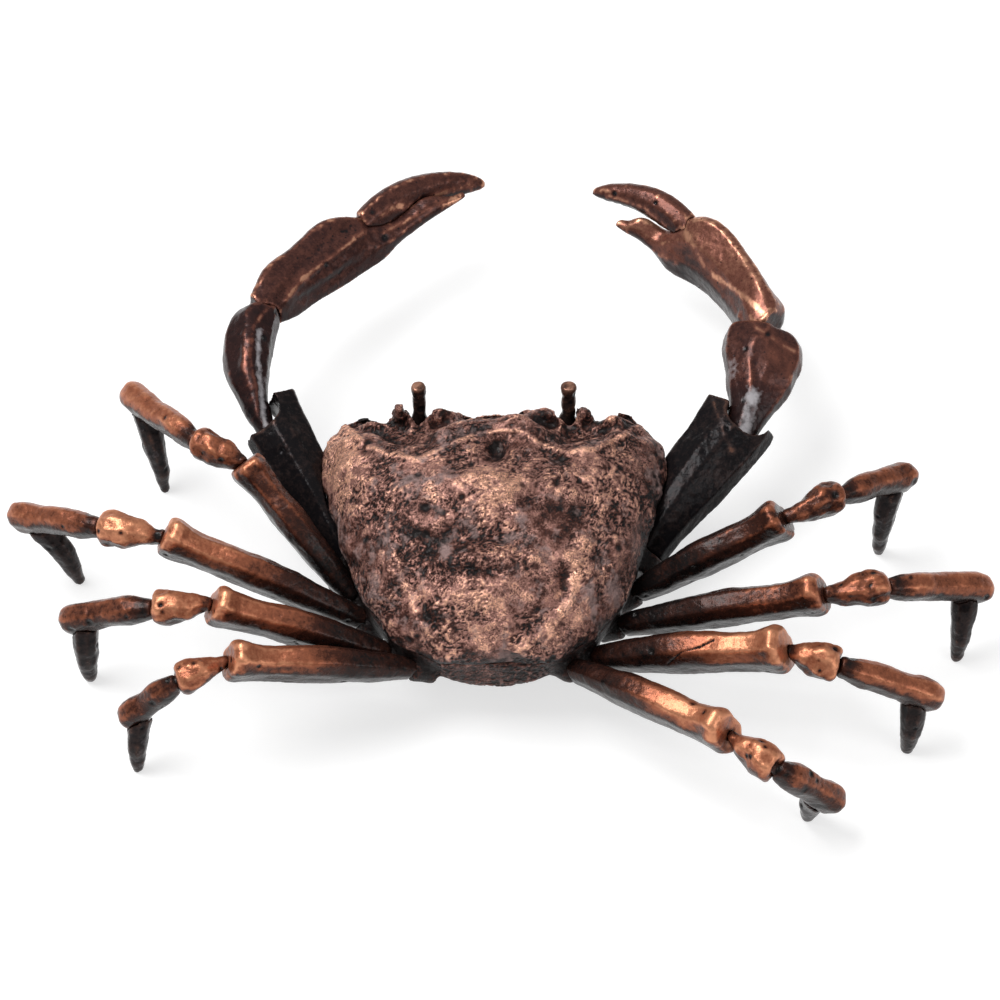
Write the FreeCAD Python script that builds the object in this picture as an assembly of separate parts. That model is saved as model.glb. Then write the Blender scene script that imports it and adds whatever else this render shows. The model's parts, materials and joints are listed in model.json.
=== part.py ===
"""Crab figurine in cast copper alloy, standing on the tips of its eight walking legs.

The body is two hollow castings, a carapace over an underbody, that meet on a flat seam.
Each claw is an arm, a wrist, a hand with its fixed finger, and a separate upper finger.
Each walking leg is a thigh, a knee, a shin and a foot. Every limb casting butts against
the one before it and is held by a round peg in a blind hole. Nothing on it moves.

Millimetres. +X is the crab's right, +Y is the way it faces, +Z is up.
"""

import FreeCAD
import Part
import math
import os

Vector = FreeCAD.Vector

# Body
body_length = 53.6  # rear edge to front margin
body_width = 65.2  # across the widest part of the carapace
seam_height = 20.0  # where the carapace meets the underbody, above the table
dome_height = 14.6  # top of the carapace above the seam
belly_height = 5.5  # underside above the table
shell_wall = 2.2
seam_gap = 0.05
underbody_inset = 0.6  # the carapace overhangs the underbody by this much at the seam
margin_height = 4.4  # front margin above the seam
relief_height = 2.0  # tallest boss on the carapace
face_rake = 5.0  # how far the face leans back from the seam to the belly
rear_rake = 0.6  # and how far the rear does
apron_thickness = 1.1  # tail folded under the belly

# Eyestalks, the notches they stand in and the spines beside them
eye_spacing = 28.2
eyestalk_height = 12.6
eyestalk_base_radius = 2.1
eyestalk_tip_radius = 1.4
eyestalk_lean_degrees = 6.0
eyestalk_setback = 0.9  # behind the front margin
notch_gap = 0.5
spine_radius = 2.2
spine_tip_radius = 0.6
spine_height = 6.6  # above the seam

# Sockets on the underbody that take the limbs
hip_height = 12.8
hip_radius = 2.3
shoulder_radius = 4.2
hip_stub = 0.8
hip_root = 4.0

# Pegs that hold the castings together
peg_radius = 0.9
peg_gap = 0.05
peg_depth = 1.5
peg_bite = 1.8

# Walking legs
thigh_length = 36.0
thigh_height = 9.6
thigh_width = 5.8
knee_length = 11.0
knee_height = 7.4
knee_width = 5.8
shin_length = 18.0  # to the foot
shin_height = 6.8
shin_width = 5.2
foot_height = 5.0
foot_width = 4.6
joint_overrun = 0.5  # a casting runs this far past the centre of its joint
ankle_overrun = 4.6  # a shin runs this far past its foot

# Claws
arm_length = 32.0
arm_height = 9.6
arm_width = 13.6
elbow_socket_radius = 4.5
elbow_socket_shift = 1.2  # towards the outside, so that the inner prong is the larger
elbow_overrun = 2.4  # the arm's two prongs run this far past the elbow
finger_root = 3.2  # the finger starts this far back inside the hand
wrist_length = 22.0
wrist_height = 9.4
wrist_width = 13.0
hand_length = 46.0
hand_height = 12.6
hand_width = 7.8
finger_length = 24.0
finger_height = 5.8
finger_width = 5.0

# Overrun of every cutting tool
cut_clear = 1.0

# Plan outline of the body: share of its length from the rear, half width as a share
outline_shares = [
    (0.00, 0.30), (0.03, 0.41), (0.10, 0.57), (0.19, 0.69), (0.33, 0.80), (0.50, 0.885),
    (0.65, 0.955), (0.76, 1.00), (0.86, 0.995), (0.94, 0.95), (1.00, 0.87),
]
# Height of the carapace along its middle, as a share of the dome height
crown_shares = [
    (0.00, 0.30), (0.05, 0.48), (0.15, 0.70), (0.30, 0.88), (0.45, 0.98), (0.55, 1.00),
    (0.70, 0.93), (0.85, 0.76), (1.00, 0.54),
]
dome_fullness = 2.6  # how square the dome is across
dome_flatness = 0.55
# Depth of the underbody along its middle, as a share of the depth to the belly
keel_shares = [
    (0.00, 0.60), (0.08, 0.78), (0.25, 0.94), (0.50, 1.00), (0.75, 0.95), (0.90, 0.80),
    (1.00, 0.62),
]
# Stations along the body and across it
along_shares = [
    0.00, 0.03, 0.07, 0.12, 0.18, 0.24, 0.30, 0.36, 0.42, 0.48, 0.54, 0.60, 0.66, 0.71, 0.75,
    0.79, 0.82, 0.85, 0.88, 0.91, 0.95, 1.00,
]
hull_along_shares = [0.00, 0.06, 0.14, 0.24, 0.36, 0.48, 0.60, 0.72, 0.84, 0.93, 1.00]
across_degrees = [0, 9, 18, 27, 36, 45, 54, 63, 72, 81, 90]
# The castings are hollow between these places along the body
cavity_rear_share = 0.05
roof_front_share = 0.8
bowl_front_share = 0.9
# Tail plate: places along the body and its width there, as a share of the body's
apron_shares = [(0.04, 0.17), (0.12, 0.19), (0.24, 0.15), (0.36, 0.11), (0.50, 0.05)]
# Eyestalk: share of the base or tip radius, share of the height
eyestalk_base_shares = [(1.00, 0.00), (0.78, 0.20)]
eyestalk_tip_shares = [(0.86, 0.50), (0.86, 0.78), (1.00, 0.86), (1.00, 0.97), (0.88, 1.00)]
spine_height_shares = {"left": (1.4, 1.0), "right": (1.0, 1.1)}
boss_root_share = 1.1  # a socket's radius at its root
# Half of the underbody's cross section: share of the half width, share of the depth
bowl_section_shares = [
    (1.00, 0.00), (0.99, 0.22), (0.95, 0.46), (0.84, 0.70), (0.66, 0.87), (0.42, 0.96), (0.20, 1.00),
]
# Bosses and hollows on the carapace: across, along, half width, half length, height
relief_shares = [
    (-0.02, 0.55, 0.19, 0.08, 0.95), (-0.36, 0.58, 0.15, 0.08, 0.45), (0.34, 0.57, 0.14, 0.08, 0.60),
    (-0.06, 0.25, 0.20, 0.08, 1.00), (-0.78, 0.66, 0.16, 0.11, 0.55), (0.66, 0.62, 0.18, 0.11, 0.50),
    (-0.06, 0.365, 0.34, 0.035, -0.80), (0.00, 0.725, 0.09, 0.05, -0.75), (-0.42, 0.42, 0.16, 0.07, -0.35),
    (0.24, 0.40, 0.11, 0.05, 0.45), (0.32, 0.48, 0.10, 0.08, -0.45), (-0.47, 0.20, 0.07, 0.12, -0.60),
    (0.40, 0.20, 0.07, 0.12, -0.60), (-0.58, 0.24, 0.07, 0.12, 0.35), (0.50, 0.24, 0.07, 0.12, 0.40),
]
ridge_front_share = 0.86  # the brow ridge, along the body
ridge_notch_share = 0.115  # how far it bends back behind each eye
ridge_notch_across_share = 0.48
ridge_notch_width_share = 0.17
ridge_drop_share = 0.35  # how steeply the brow falls in front of the ridge
ridge_rise_share = 0.35  # height of the ridge itself, as a share of the tallest boss
ridge_width_share = 0.028
rear_fade_share = 0.25  # the relief fades out this far from the rear

# Stations of each casting: along its length, then height, width, lift and shift
thigh_stations_share = [
    (0.00, 0.50, 0.60, 0.00, 0.00), (0.12, 0.66, 0.74, 0.00, 0.00), (0.35, 0.92, 0.92, 0.00, 0.00),
    (0.62, 1.04, 0.98, 0.00, 0.00), (0.86, 1.00, 0.98, 0.00, 0.00), (0.95, 1.18, 1.14, 0.09, 0.00),
    (1.00, 1.00, 1.00, 0.09, 0.00),
]
knee_stations_share = [
    (0.00, 0.48, 0.50, 0.00, 0.00), (0.18, 0.52, 0.52, 0.00, 0.00), (0.42, 0.82, 0.82, 0.00, 0.00),
    (0.74, 1.00, 1.00, 0.00, 0.00), (0.93, 0.94, 0.98, 0.00, 0.00), (1.00, 0.74, 0.80, 0.00, 0.00),
]
shin_stations_share = [
    (0.00, 0.58, 0.60, 0.00, 0.00), (0.10, 0.70, 0.74, 0.00, 0.00), (0.24, 0.86, 0.90, 0.00, 0.00),
    (0.55, 0.84, 0.86, 0.00, 0.00), (0.82, 1.00, 1.00, 0.00, 0.00), (0.94, 0.92, 0.96, 0.00, 0.00),
    (1.00, 0.56, 0.64, 0.00, 0.00),
]
foot_stations_share = [
    (0.00, 0.96, 1.08, 0.00, 0.00), (0.25, 1.00, 0.98, 0.00, 0.00), (0.55, 0.86, 0.80, 0.00, 0.00),
    (0.80, 0.60, 0.58, 0.00, 0.00), (1.00, 0.36, 0.38, 0.00, 0.00),
]
arm_stations_share = [
    (0.00, 0.66, 0.50, 0.00, 0.04), (0.18, 0.80, 0.64, 0.00, 0.10), (0.45, 0.94, 0.86, 0.00, 0.12),
    (0.76, 1.00, 0.98, 0.00, 0.08), (0.92, 1.00, 1.02, 0.00, 0.06), (1.00, 0.90, 1.00, 0.00, 0.08),
]
wrist_stations_share = [
    (0.00, 0.50, 0.38, 0.00, 0.00), (0.20, 0.60, 0.46, 0.00, 0.00), (0.50, 0.88, 0.80, 0.00, 0.00),
    (0.78, 1.00, 1.00, 0.00, 0.00), (0.92, 0.93, 0.94, 0.00, 0.00), (1.00, 0.74, 0.74, 0.00, 0.00),
]
hand_stations_share = [
    (0.00, 0.60, 0.70, 0.00, 0.00), (0.06, 0.74, 0.84, 0.00, 0.00), (0.18, 0.94, 0.98, 0.00, 0.00),
    (0.34, 1.00, 1.00, 0.00, 0.00), (0.49, 1.00, 0.98, 0.00, 0.00), (0.58, 0.80, 0.88, -0.07, 0.00),
    (0.66, 0.50, 0.74, -0.12, 0.00), (0.78, 0.35, 0.58, -0.05, 0.00), (0.92, 0.23, 0.42, 0.02, 0.00),
    (1.00, 0.12, 0.24, 0.05, 0.00),
]
finger_stations_share = [
    (0.00, 0.92, 0.90, 0.00, 0.00), (0.18, 1.00, 1.00, 0.00, 0.00), (0.45, 0.92, 0.90, 0.00, 0.00),
    (0.72, 0.72, 0.72, 0.00, 0.00), (0.92, 0.46, 0.48, 0.00, 0.00), (1.00, 0.22, 0.26, 0.00, 0.00),
]
finger_seat_shares = {"left": (0.64, 0.09), "right": (0.74, 0.23)}  # along the hand, and lift
heel_to_share = 0.10  # the heel of the hand reaches this far along it
palm_full_share = 0.34  # and the palm is at its thickest here

# How far each casting bows from a straight line, towards the front and the top
thigh_bow_shares = (0.00, 0.03)
knee_bow_shares = (0.00, 0.03)
shin_bow_shares = (0.00, 0.03)
foot_bow_shares = (0.00, 0.06)

# Cross sections: share of the width towards the front, share of the height
blade_section_share = [
    (0.26, 0.50), (0.50, 0.24), (0.46, -0.24), (0.20, -0.50),
    (-0.20, -0.50), (-0.50, -0.24), (-0.50, 0.26), (-0.24, 0.50),
]
round_section_share = [
    (0.22, 0.50), (0.50, 0.22), (0.50, -0.22), (0.22, -0.50),
    (-0.22, -0.50), (-0.50, -0.22), (-0.50, 0.22), (-0.22, 0.50),
]
ridge_section_share = [
    (0.10, 0.50), (0.44, 0.20), (0.50, -0.16), (0.32, -0.48),
    (-0.32, -0.48), (-0.50, -0.16), (-0.44, 0.20), (-0.10, 0.50),
]

# Walking legs: hip along the body, hip height, length of each casting, girth, girth past the thigh
leg_shares = {
    "left_leg_1": {"hip": 0.352, "up": 1.0, "thigh": 0.899, "knee": 0.93, "shin": 1.18,
                    "girth": 1.02, "shank": 1.0},
    "left_leg_2": {"hip": 0.26, "up": 1.0, "thigh": 1.12, "knee": 1.10, "shin": 1.03,
                    "girth": 1.04, "shank": 1.0},
    "left_leg_3": {"hip": 0.125, "up": 1.0, "thigh": 0.955, "knee": 0.95, "shin": 0.91,
                    "girth": 1.04, "shank": 1.0},
    "left_leg_4": {"hip": 0.05, "up": 1.10, "thigh": 0.98, "knee": 0.86, "shin": 0.70,
                    "girth": 1.04, "shank": 0.88},
    "right_leg_1": {"hip": 0.372, "up": 1.0, "thigh": 0.89, "knee": 1.05, "shin": 0.90,
                    "girth": 1.06, "shank": 0.94},
    "right_leg_2": {"hip": 0.24, "up": 1.0, "thigh": 1.085, "knee": 1.06, "shin": 1.10,
                    "girth": 1.05, "shank": 1.0},
    "right_leg_3": {"hip": 0.11, "up": 1.0, "thigh": 1.025, "knee": 0.85, "shin": 1.0,
                    "girth": 1.16, "shank": 0.92},
    "right_leg_4": {"hip": 0.05, "up": 1.10, "thigh": 0.98, "knee": 0.93, "shin": 0.81,
                    "girth": 1.06, "shank": 0.96},
}
# Heading from +X and rise above the horizon of each casting, in degrees
leg_degrees = {
    "left_leg_1": {"thigh": (136, 29.5), "knee": (151, -1), "shin": (129, -22), "foot": (-62, -73)},
    "left_leg_2": {"thigh": (166, 21), "knee": (167, -5), "shin": (151, -27), "foot": (-18, -68)},
    "left_leg_3": {"thigh": (176, 22), "knee": (179, -5), "shin": (167, -30), "foot": (-102, -81)},
    "left_leg_4": {"thigh": (-171, 17.5), "knee": (-159, -3), "shin": (-178, -52), "foot": (-110, -74)},
    "right_leg_1": {"thigh": (13, 29), "knee": (28, -1), "shin": (37, -26), "foot": (-116, -84)},
    "right_leg_2": {"thigh": (-3, 20), "knee": (10, -2), "shin": (20, -28), "foot": (-95, -74)},
    "right_leg_3": {"thigh": (-10, 19), "knee": (-16, -5), "shin": (0, -31), "foot": (-99, -78)},
    "right_leg_4": {"thigh": (-36, 16), "knee": (-40, -2), "shin": (8, -52), "foot": (115, -79)},
}
leg_roll_degrees = -18
# Claws: where each starts along the body, length and girth of each casting, reach of the prongs,
# width of the heel, girth of the finger, what is left of the hand past its thickest place and how
# far the elbow socket lies to the outside
claw_shares = {
    "left": {
        "hip": 0.49, "arm": 1.03, "wrist": 1.045, "hand": 1.12, "finger": 1.07,
        "arm_girth": 0.93, "wrist_girth": 0.84, "palm": 1.0, "prongs": 1.3, "heel": 1.0,
        "finger_girth": 1.4, "stretch": 1.0, "elbow_shift": 1.9,
    },
    "right": {
        "hip": 0.53, "arm": 1.02, "wrist": 0.885, "hand": 0.89, "finger": 0.81,
        "arm_girth": 1.15, "wrist_girth": 1.26, "palm": 1.10, "prongs": 0.4, "heel": 1.35,
        "finger_girth": 1.0, "stretch": 0.68, "elbow_shift": 1.0,
    },
}
claw_bow_shares = {
    "left": {"arm": (-0.02, 0.03), "wrist": (-0.10, 0.02), "hand": (-0.10, 0.03),
             "finger": (-0.04, 0.09)},
    "right": {"arm": (-0.02, 0.03), "wrist": (-0.05, 0.02), "hand": (-0.17, 0.03),
             "finger": (-0.05, 0.09)},
}
claw_degrees = {
    "left": {"arm": (118, 16), "wrist": (97, 10), "hand": (39, -4), "finger": (32, -7)},
    "right": {"arm": (53.5, 16), "wrist": (76, 12), "hand": (132, -6), "finger": (148, -5)},
}
claw_roll_degrees = {
    "left": {"arm": 0, "wrist": 0, "hand": -40, "finger": -30},
    "right": {"arm": 0, "wrist": 0, "hand": -14, "finger": -20},
}


def between(table, at):
    """Smooth curve through a table of pairs, read at one place."""
    places = [place for place, _ in table]
    values = [value for _, value in table]
    slopes = []
    for i in range(len(table)):
        low, high = max(i - 1, 0), min(i + 1, len(table) - 1)
        slopes.append((values[high] - values[low]) / (places[high] - places[low]))
    at = min(max(at, places[0]), places[-1])
    i = max(k for k in range(len(places) - 1) if places[k] <= at)
    span = places[i + 1] - places[i]
    t = (at - places[i]) / span
    start = (1 + 2 * t) * (1 - t) ** 2 * values[i] + t * (1 - t) ** 2 * span * slopes[i]
    end = t * t * (3 - 2 * t) * values[i + 1] + t * t * (t - 1) * span * slopes[i + 1]
    return start + end


def bump(across, along):
    """A round hump, 1 at its middle, with both distances in half widths."""
    return math.exp(-(across * across + along * along))


def half_width(along):
    """Half width of the carapace at a share of the body's length."""
    return body_width / 2 * between(outline_shares, along)


def dome_profile(across):
    """Height across the carapace as a share of its height along the middle."""
    return (1 - min(abs(across), 1.0) ** dome_fullness) ** dome_flatness


def carapace_height(across, along):
    """Height of the carapace above the seam, at a share of the half width and of the length."""
    crown = dome_height * between(crown_shares, along)
    height = crown * dome_profile(across)
    middle = across * half_width(along) / (body_width / 2)
    notch = bump((abs(middle) - ridge_notch_across_share) / ridge_notch_width_share, 0)
    ridge = ridge_front_share - ridge_notch_share * notch
    if along > ridge:
        fall = (along - ridge) / (1 - ridge)
        steep = ridge_drop_share * math.sin(math.pi * fall)
        lowest = margin_height / (dome_height * crown_shares[-1][1])
        height *= 1 - (1 - lowest) * min(1.0, fall + steep)
    fade = (1 - abs(across) ** 4) * min(1.0, along / rear_fade_share)
    if along > ridge:
        fade *= 1 - fall
    for x, y, wide, long, tall in relief_shares:
        height += relief_height * tall * fade * bump((middle - x) / wide, (along - y) / long)
    rise = ridge_rise_share * (1 - abs(across) ** 4)
    return height + relief_height * rise * bump((along - ridge) / ridge_width_share, 0)


def solid_of(shape):
    """The largest solid of a shape, turned the right way out."""
    solid = max(shape.Solids, key=lambda one: abs(one.Volume))
    if solid.Volume < 0:
        solid.reverse()
    return solid


def closed_under(rows):
    """Solid under a smooth skin of rows that run from side to side at one height."""
    surface = Part.BSplineSurface()
    surface.interpolate(rows)
    skin = surface.toShape()
    corners = [rows[0][0], rows[0][-1], rows[-1][-1], rows[-1][0]]
    cross = [Part.makeLine(corners[0], corners[1]), Part.makeLine(corners[3], corners[2])]
    ends = []
    sides = []
    for edge in skin.Edges:
        middle = edge.valueAt((edge.FirstParameter + edge.LastParameter) / 2)
        near = [middle.distanceToPoint(line.CenterOfMass) for line in cross]
        along = middle.distanceToPoint((corners[0] + corners[3]) / 2)
        other = middle.distanceToPoint((corners[1] + corners[2]) / 2)
        (ends if min(near) < min(along, other) else sides).append(edge)
    ends.sort(key=lambda edge: edge.CenterOfMass.distanceToPoint(cross[0].CenterOfMass))
    faces = [skin]
    for edge, line in zip(ends, cross):
        faces.append(Part.Face(Part.Wire(Part.__sortEdges__([edge, line]))))
    faces.append(Part.Face(Part.Wire(Part.__sortEdges__(sides + cross))))
    shell = Part.makeShell(faces)
    shell.sewShape()
    return solid_of(Part.Compound([Part.makeSolid(shell)]))


def dome_row(along, inset, lowered, drop, relief):
    """One row of the carapace's skin, or of the smooth roof of its cavity."""
    half = half_width(along) - inset
    angles = [-a for a in reversed(across_degrees[1:])] + across_degrees
    row = []
    for angle in angles:
        across = math.sin(math.radians(angle))
        if abs(angle) == across_degrees[-1]:
            rise = -drop
        elif relief:
            rise = carapace_height(across, along)
        else:
            rise = (dome_height * between(crown_shares, along) - lowered) * dome_profile(across)
        row.append(Vector(across * half, along * body_length, seam_height + rise))
    return row


def carapace_shell():
    """Domed casting, hollow from behind, with a spine each side of each eye notch."""
    outside = closed_under([dome_row(along, 0, 0, 0, True) for along in along_shares])
    inner = [along for along in hull_along_shares if cavity_rear_share < along < roof_front_share]
    lowered = shell_wall + relief_height
    cavity = closed_under([dome_row(along, shell_wall, lowered, cut_clear, False) for along in inner])
    return solid_of(outside.cut(cavity))


def bowl_row(along, inset, raised, drop):
    """One row of the underbody's skin, or of the cavity inside it."""
    top = seam_height - seam_gap
    half = half_width(along) - underbody_inset - inset
    depth = (top - belly_height) * between(keel_shares, along) - raised
    lean = rear_rake * (1 - along) ** 2 - face_rake * along**2
    right = []
    for across, down in bowl_section_shares:
        down = down if down else -drop / depth
        right.append(Vector(across * half, along * body_length + lean * down, top - down * depth))
    return [Vector(-p.x, p.y, p.z) for p in right] + list(reversed(right))


def underbody_shell():
    """Bowl-shaped casting under the seam, with the tail folded forward beneath it."""
    outside = closed_under([bowl_row(along, 0, 0, 0) for along in hull_along_shares])
    inner = [along for along in hull_along_shares if cavity_rear_share < along < bowl_front_share]
    cavity = closed_under([bowl_row(along, shell_wall, shell_wall, cut_clear) for along in inner])
    return solid_of(solid_of(outside.cut(cavity)).fuse(apron()))


def apron():
    """Tail plate folded forward under the belly, a little proud of it."""
    wires = []
    top = seam_height - seam_gap
    for along, wide in apron_shares:
        half = wide * body_width / 2
        low = top - (top - belly_height) * between(keel_shares, along) - apron_thickness
        y = along * body_length + rear_rake * (1 - along) ** 2
        tall = 2 * apron_thickness
        wires.append(Part.makePolygon([
            Vector(-half, y, low), Vector(half, y, low), Vector(half, y, low + tall),
            Vector(-half, y, low + tall), Vector(-half, y, low),
        ]))
    return solid_of(Part.makeLoft(wires, True, True))


def direction(heading, rise):
    """Unit vector from a heading and a rise in degrees."""
    h, r = math.radians(heading), math.radians(rise)
    return Vector(math.cos(r) * math.cos(h), math.cos(r) * math.sin(h), math.sin(r))


def limb_frame(axis, side, roll):
    """The front and top directions of a casting, with its top rolled towards the front."""
    front = axis.cross(Vector(0, 0, 1)) if side == "left" else Vector(0, 0, 1).cross(axis)
    front.normalize()
    top = axis.cross(front)
    if top.z < 0:
        top = -top
    angle = math.radians(roll)
    return front * math.cos(angle) - top * math.sin(angle), top * math.cos(angle) + front * math.sin(angle)


def limb(start, axis, frame, size, stations, section, bow):
    """Casting lofted along a gently bowed line through scaled copies of a cross section."""
    length, height, width = size
    front, top = frame
    wires = []
    for along, tall, wide, lift, shift in stations:
        arch = 4 * along * (1 - along) * length
        centre = start + axis * (along * length)
        centre = centre + top * (lift * height + bow[1] * arch) + front * (shift * width + bow[0] * arch)
        points = [centre + front * (f * wide * width) + top * (t * tall * height) for f, t in section]
        wires.append(Part.makePolygon(points + points[:1]))
    return solid_of(Part.makeLoft(wires, True, False, False, 3))


def join(parent, child, root, axis, reach):
    """Butts the child against the parent and pegs it into a blind hole there."""
    start = root - axis * peg_depth
    length = peg_depth + reach + peg_bite
    peg = Part.makeCylinder(peg_radius, length, start, axis)
    hole = Part.makeCylinder(peg_radius + peg_gap, length + 2 * peg_gap, start - axis * peg_gap, axis)
    seated = solid_of(child.cut(parent))
    return solid_of(parent.cut(hole)), solid_of(seated.fuse(peg))


def hip_place(side, share, up):
    """Centre of a limb's socket in the wall of the underbody."""
    sign = -1 if side == "left" else 1
    return Vector(sign * (half_width(share) - underbody_inset), share * body_length, up * hip_height)


def socket_boss(place, axis, radius):
    """Round boss through the underbody's wall that a limb plugs into."""
    length = hip_root + hip_stub
    return Part.makeCone(radius * boss_root_share, radius, length, place - axis * hip_root, axis)


def walking_leg(name):
    """The castings of a walking leg by name, each with its root, its axis and its peg's reach."""
    side = name.split("_")[0]
    lengths, angles = leg_shares[name], leg_degrees[name]
    girth = lengths["girth"] * lengths["shank"]
    castings = (
        ("thigh", thigh_length, thigh_height / lengths["shank"], thigh_width / lengths["shank"],
         joint_overrun, thigh_stations_share, blade_section_share, thigh_bow_shares, hip_stub),
        ("knee", knee_length, knee_height, knee_width, joint_overrun, knee_stations_share,
         round_section_share, knee_bow_shares, joint_overrun),
        ("shin", shin_length, shin_height, shin_width, ankle_overrun * girth, shin_stations_share,
         blade_section_share, shin_bow_shares, joint_overrun),
    )
    joint = hip_place(side, lengths["hip"], lengths["up"])
    parts = {}
    for piece, length, height, width, overrun, stations, section, bow, reach in castings:
        axis = direction(*angles[piece])
        frame = limb_frame(axis, side, leg_roll_degrees)
        length = length * lengths[piece]
        size = (length + overrun, height * girth, width * girth)
        parts[piece] = (limb(joint, axis, frame, size, stations, section, bow), joint, axis, reach)
        joint = joint + axis * length
    axis = direction(*angles["foot"])
    frame = limb_frame(axis, side, 0)
    size = (joint.z / -axis.z + cut_clear, foot_height * girth, foot_width * girth)
    foot = limb(joint, axis, frame, size, foot_stations_share, round_section_share, foot_bow_shares)
    corner = joint - Vector(thigh_length / 2, thigh_length / 2, joint.z + thigh_length)
    below = Part.makeBox(thigh_length, thigh_length, thigh_length, corner)
    parts["foot"] = (solid_of(foot.cut(below)), joint, axis, shin_height / 2)
    return parts


def hand_stations(side):
    """Stations of a hand whose heel is widened outwards and whose palm is drawn towards its tip."""
    stations = []
    for along, tall, wide, lift, shift in hand_stations_share:
        wider = (claw_shares[side]["heel"] - 1) * wide if along < heel_to_share else 0
        if along > palm_full_share:
            along = 1 - (1 - along) * claw_shares[side]["stretch"]
        stations.append((along, tall, wide + wider, lift, shift - wider / 2))
    return stations


def claw(side):
    """The castings of a claw by name, each with its root, its axis and its peg's reach."""
    lengths, angles = claw_shares[side], claw_degrees[side]
    palm = lengths["palm"]
    finger = palm * lengths["finger_girth"]
    joint = hip_place(side, lengths["hip"], 1)
    parts = {}
    castings = (
        ("arm", arm_length, arm_height, arm_width * lengths["arm_girth"], arm_stations_share, 0,
         elbow_overrun * lengths["prongs"]),
        ("wrist", wrist_length, wrist_height, wrist_width * lengths["wrist_girth"],
         wrist_stations_share, elbow_socket_radius, joint_overrun),
        ("hand", hand_length, hand_height * palm, hand_width * palm, hand_stations(side), 0, 0),
        ("finger", finger_length, finger_height * finger, finger_width * palm, finger_stations_share,
         finger_root, 0),
    )
    for piece, length, height, width, stations, lead, overrun in castings:
        axis = direction(*angles[piece])
        front, top = frame = limb_frame(axis, side, claw_roll_degrees[side][piece])
        bow = claw_bow_shares[side][piece]
        length = length * lengths[piece]
        section = round_section_share if piece == "finger" else ridge_section_share
        root = joint - axis * lead
        size = (lead + length + overrun, height, width)
        reach = wrist_height / 2 if piece == "hand" else lead + hip_stub
        parts[piece] = (limb(root, axis, frame, size, stations, section, bow), root, axis, reach)
        if piece == "arm":
            aside = elbow_socket_shift * lengths["elbow_shift"]
            elbow = joint + axis * (length + joint_overrun) - front * aside
        if piece == "hand":
            along, lift = finger_seat_shares[side]
            arch = 4 * along * (1 - along) * length
            joint = joint + axis * (along * length) + front * (bow[0] * arch)
            joint = joint + top * (lift * height + bow[1] * arch)
        else:
            joint = joint + axis * length
    socket = Part.makeCylinder(elbow_socket_radius, 2 * arm_height, elbow - Vector(0, 0, arm_height))
    parts["arm"] = (solid_of(parts["arm"][0].cut(socket)),) + parts["arm"][1:]
    return parts


def eyestalk(side):
    """Slim leaning stalk with a flat round tip, its place on the seam, and its axis."""
    sign = -1 if side == "left" else 1
    place = Vector(sign * eye_spacing / 2, body_length - eyestalk_setback, seam_height)
    tip, base = eyestalk_tip_radius, eyestalk_base_radius
    profile = [(0, 0)] + [(share * base, up) for share, up in eyestalk_base_shares]
    profile += [(share * tip, up) for share, up in eyestalk_tip_shares] + [(0, 1)]
    points = [Vector(radius, 0, up * eyestalk_height) for radius, up in profile]
    face = Part.Face(Part.makePolygon(points + points[:1]))
    stalk = face.revolve(Vector(0, 0, 0), Vector(0, 0, 1), 360)
    stalk.rotate(Vector(0, 0, 0), Vector(1, 0, 0), -eyestalk_lean_degrees)
    stalk.translate(place)
    lean = math.radians(eyestalk_lean_degrees)
    return solid_of(stalk), place, Vector(0, math.sin(lean), math.cos(lean))


def build():
    """Every casting by name, joined to its neighbours, still in the body's own frame."""
    carapace = carapace_shell()
    underbody = underbody_shell()
    limbs = {}
    for name in leg_shares:
        limbs[name] = walking_leg(name)
    for side in claw_shares:
        limbs[side] = claw(side)
        # The first thigh gives way to the arm it lies against
        front = limbs[side + "_leg_1"]
        shape, root, axis, reach = front["thigh"]
        front["thigh"] = (solid_of(shape.cut(limbs[side]["arm"][0])), root, axis, reach)
    for name, pieces in limbs.items():
        _, root, axis, _ = pieces["thigh" if name in leg_shares else "arm"]
        radius = hip_radius * leg_shares[name]["girth"] if name in leg_shares else shoulder_radius
        underbody = solid_of(underbody.fuse(socket_boss(root, axis, radius)))

    parts = {}
    for side in claw_shares:
        stalk, place, axis = eyestalk(side)
        notch = eyestalk_base_radius + notch_gap
        for sign, share in zip((-1, 1), spine_height_shares[side]):
            x = place.x + sign * (notch + spine_radius / 2)
            base = Vector(x, body_length - spine_radius, seam_height)
            spine = Part.makeCone(spine_radius, spine_tip_radius, spine_height * share, base)
            carapace = solid_of(carapace.fuse(spine))
        hole = Part.makeCylinder(notch, 2 * dome_height, place - Vector(0, 0, dome_height))
        mouth = Part.makeBox(2 * notch, 2 * notch, 2 * dome_height, place - Vector(notch, 0, dome_height))
        carapace = solid_of(carapace.cut(hole.fuse(mouth)))
        underbody, parts[side + "_eyestalk"] = join(underbody, stalk, place, axis, 0)

    for name, pieces in limbs.items():
        before = underbody
        order = []
        for piece, (shape, root, axis, reach) in pieces.items():
            if not order:
                shape = solid_of(shape.cut(carapace))
            before, shape = join(before, shape, root, axis, reach)
            if order:
                parts[order[-1]] = before
            else:
                underbody = before
            order.append(name + "_" + piece)
            before = shape
        parts[order[-1]] = before
    parts["carapace"] = carapace
    parts["underbody"] = underbody
    return parts


def main():
    """Builds the figurine, centres it over the origin and writes one file per casting."""
    parts = build()
    box = Part.makeCompound(list(parts.values())).optimalBoundingBox(False, False)
    move = Vector(-box.Center.x, -box.Center.y, -box.ZMin)
    os.makedirs("parts", exist_ok=True)
    for name, shape in sorted(parts.items()):
        shape.translate(move)
        shape.exportStep("parts/" + name + ".step")
        print(name, shape.isValid(), len(shape.Solids), round(shape.Volume, 1))
    print("size", round(box.XLength, 2), round(box.YLength, 2), round(box.ZLength, 2))


main()
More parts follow.
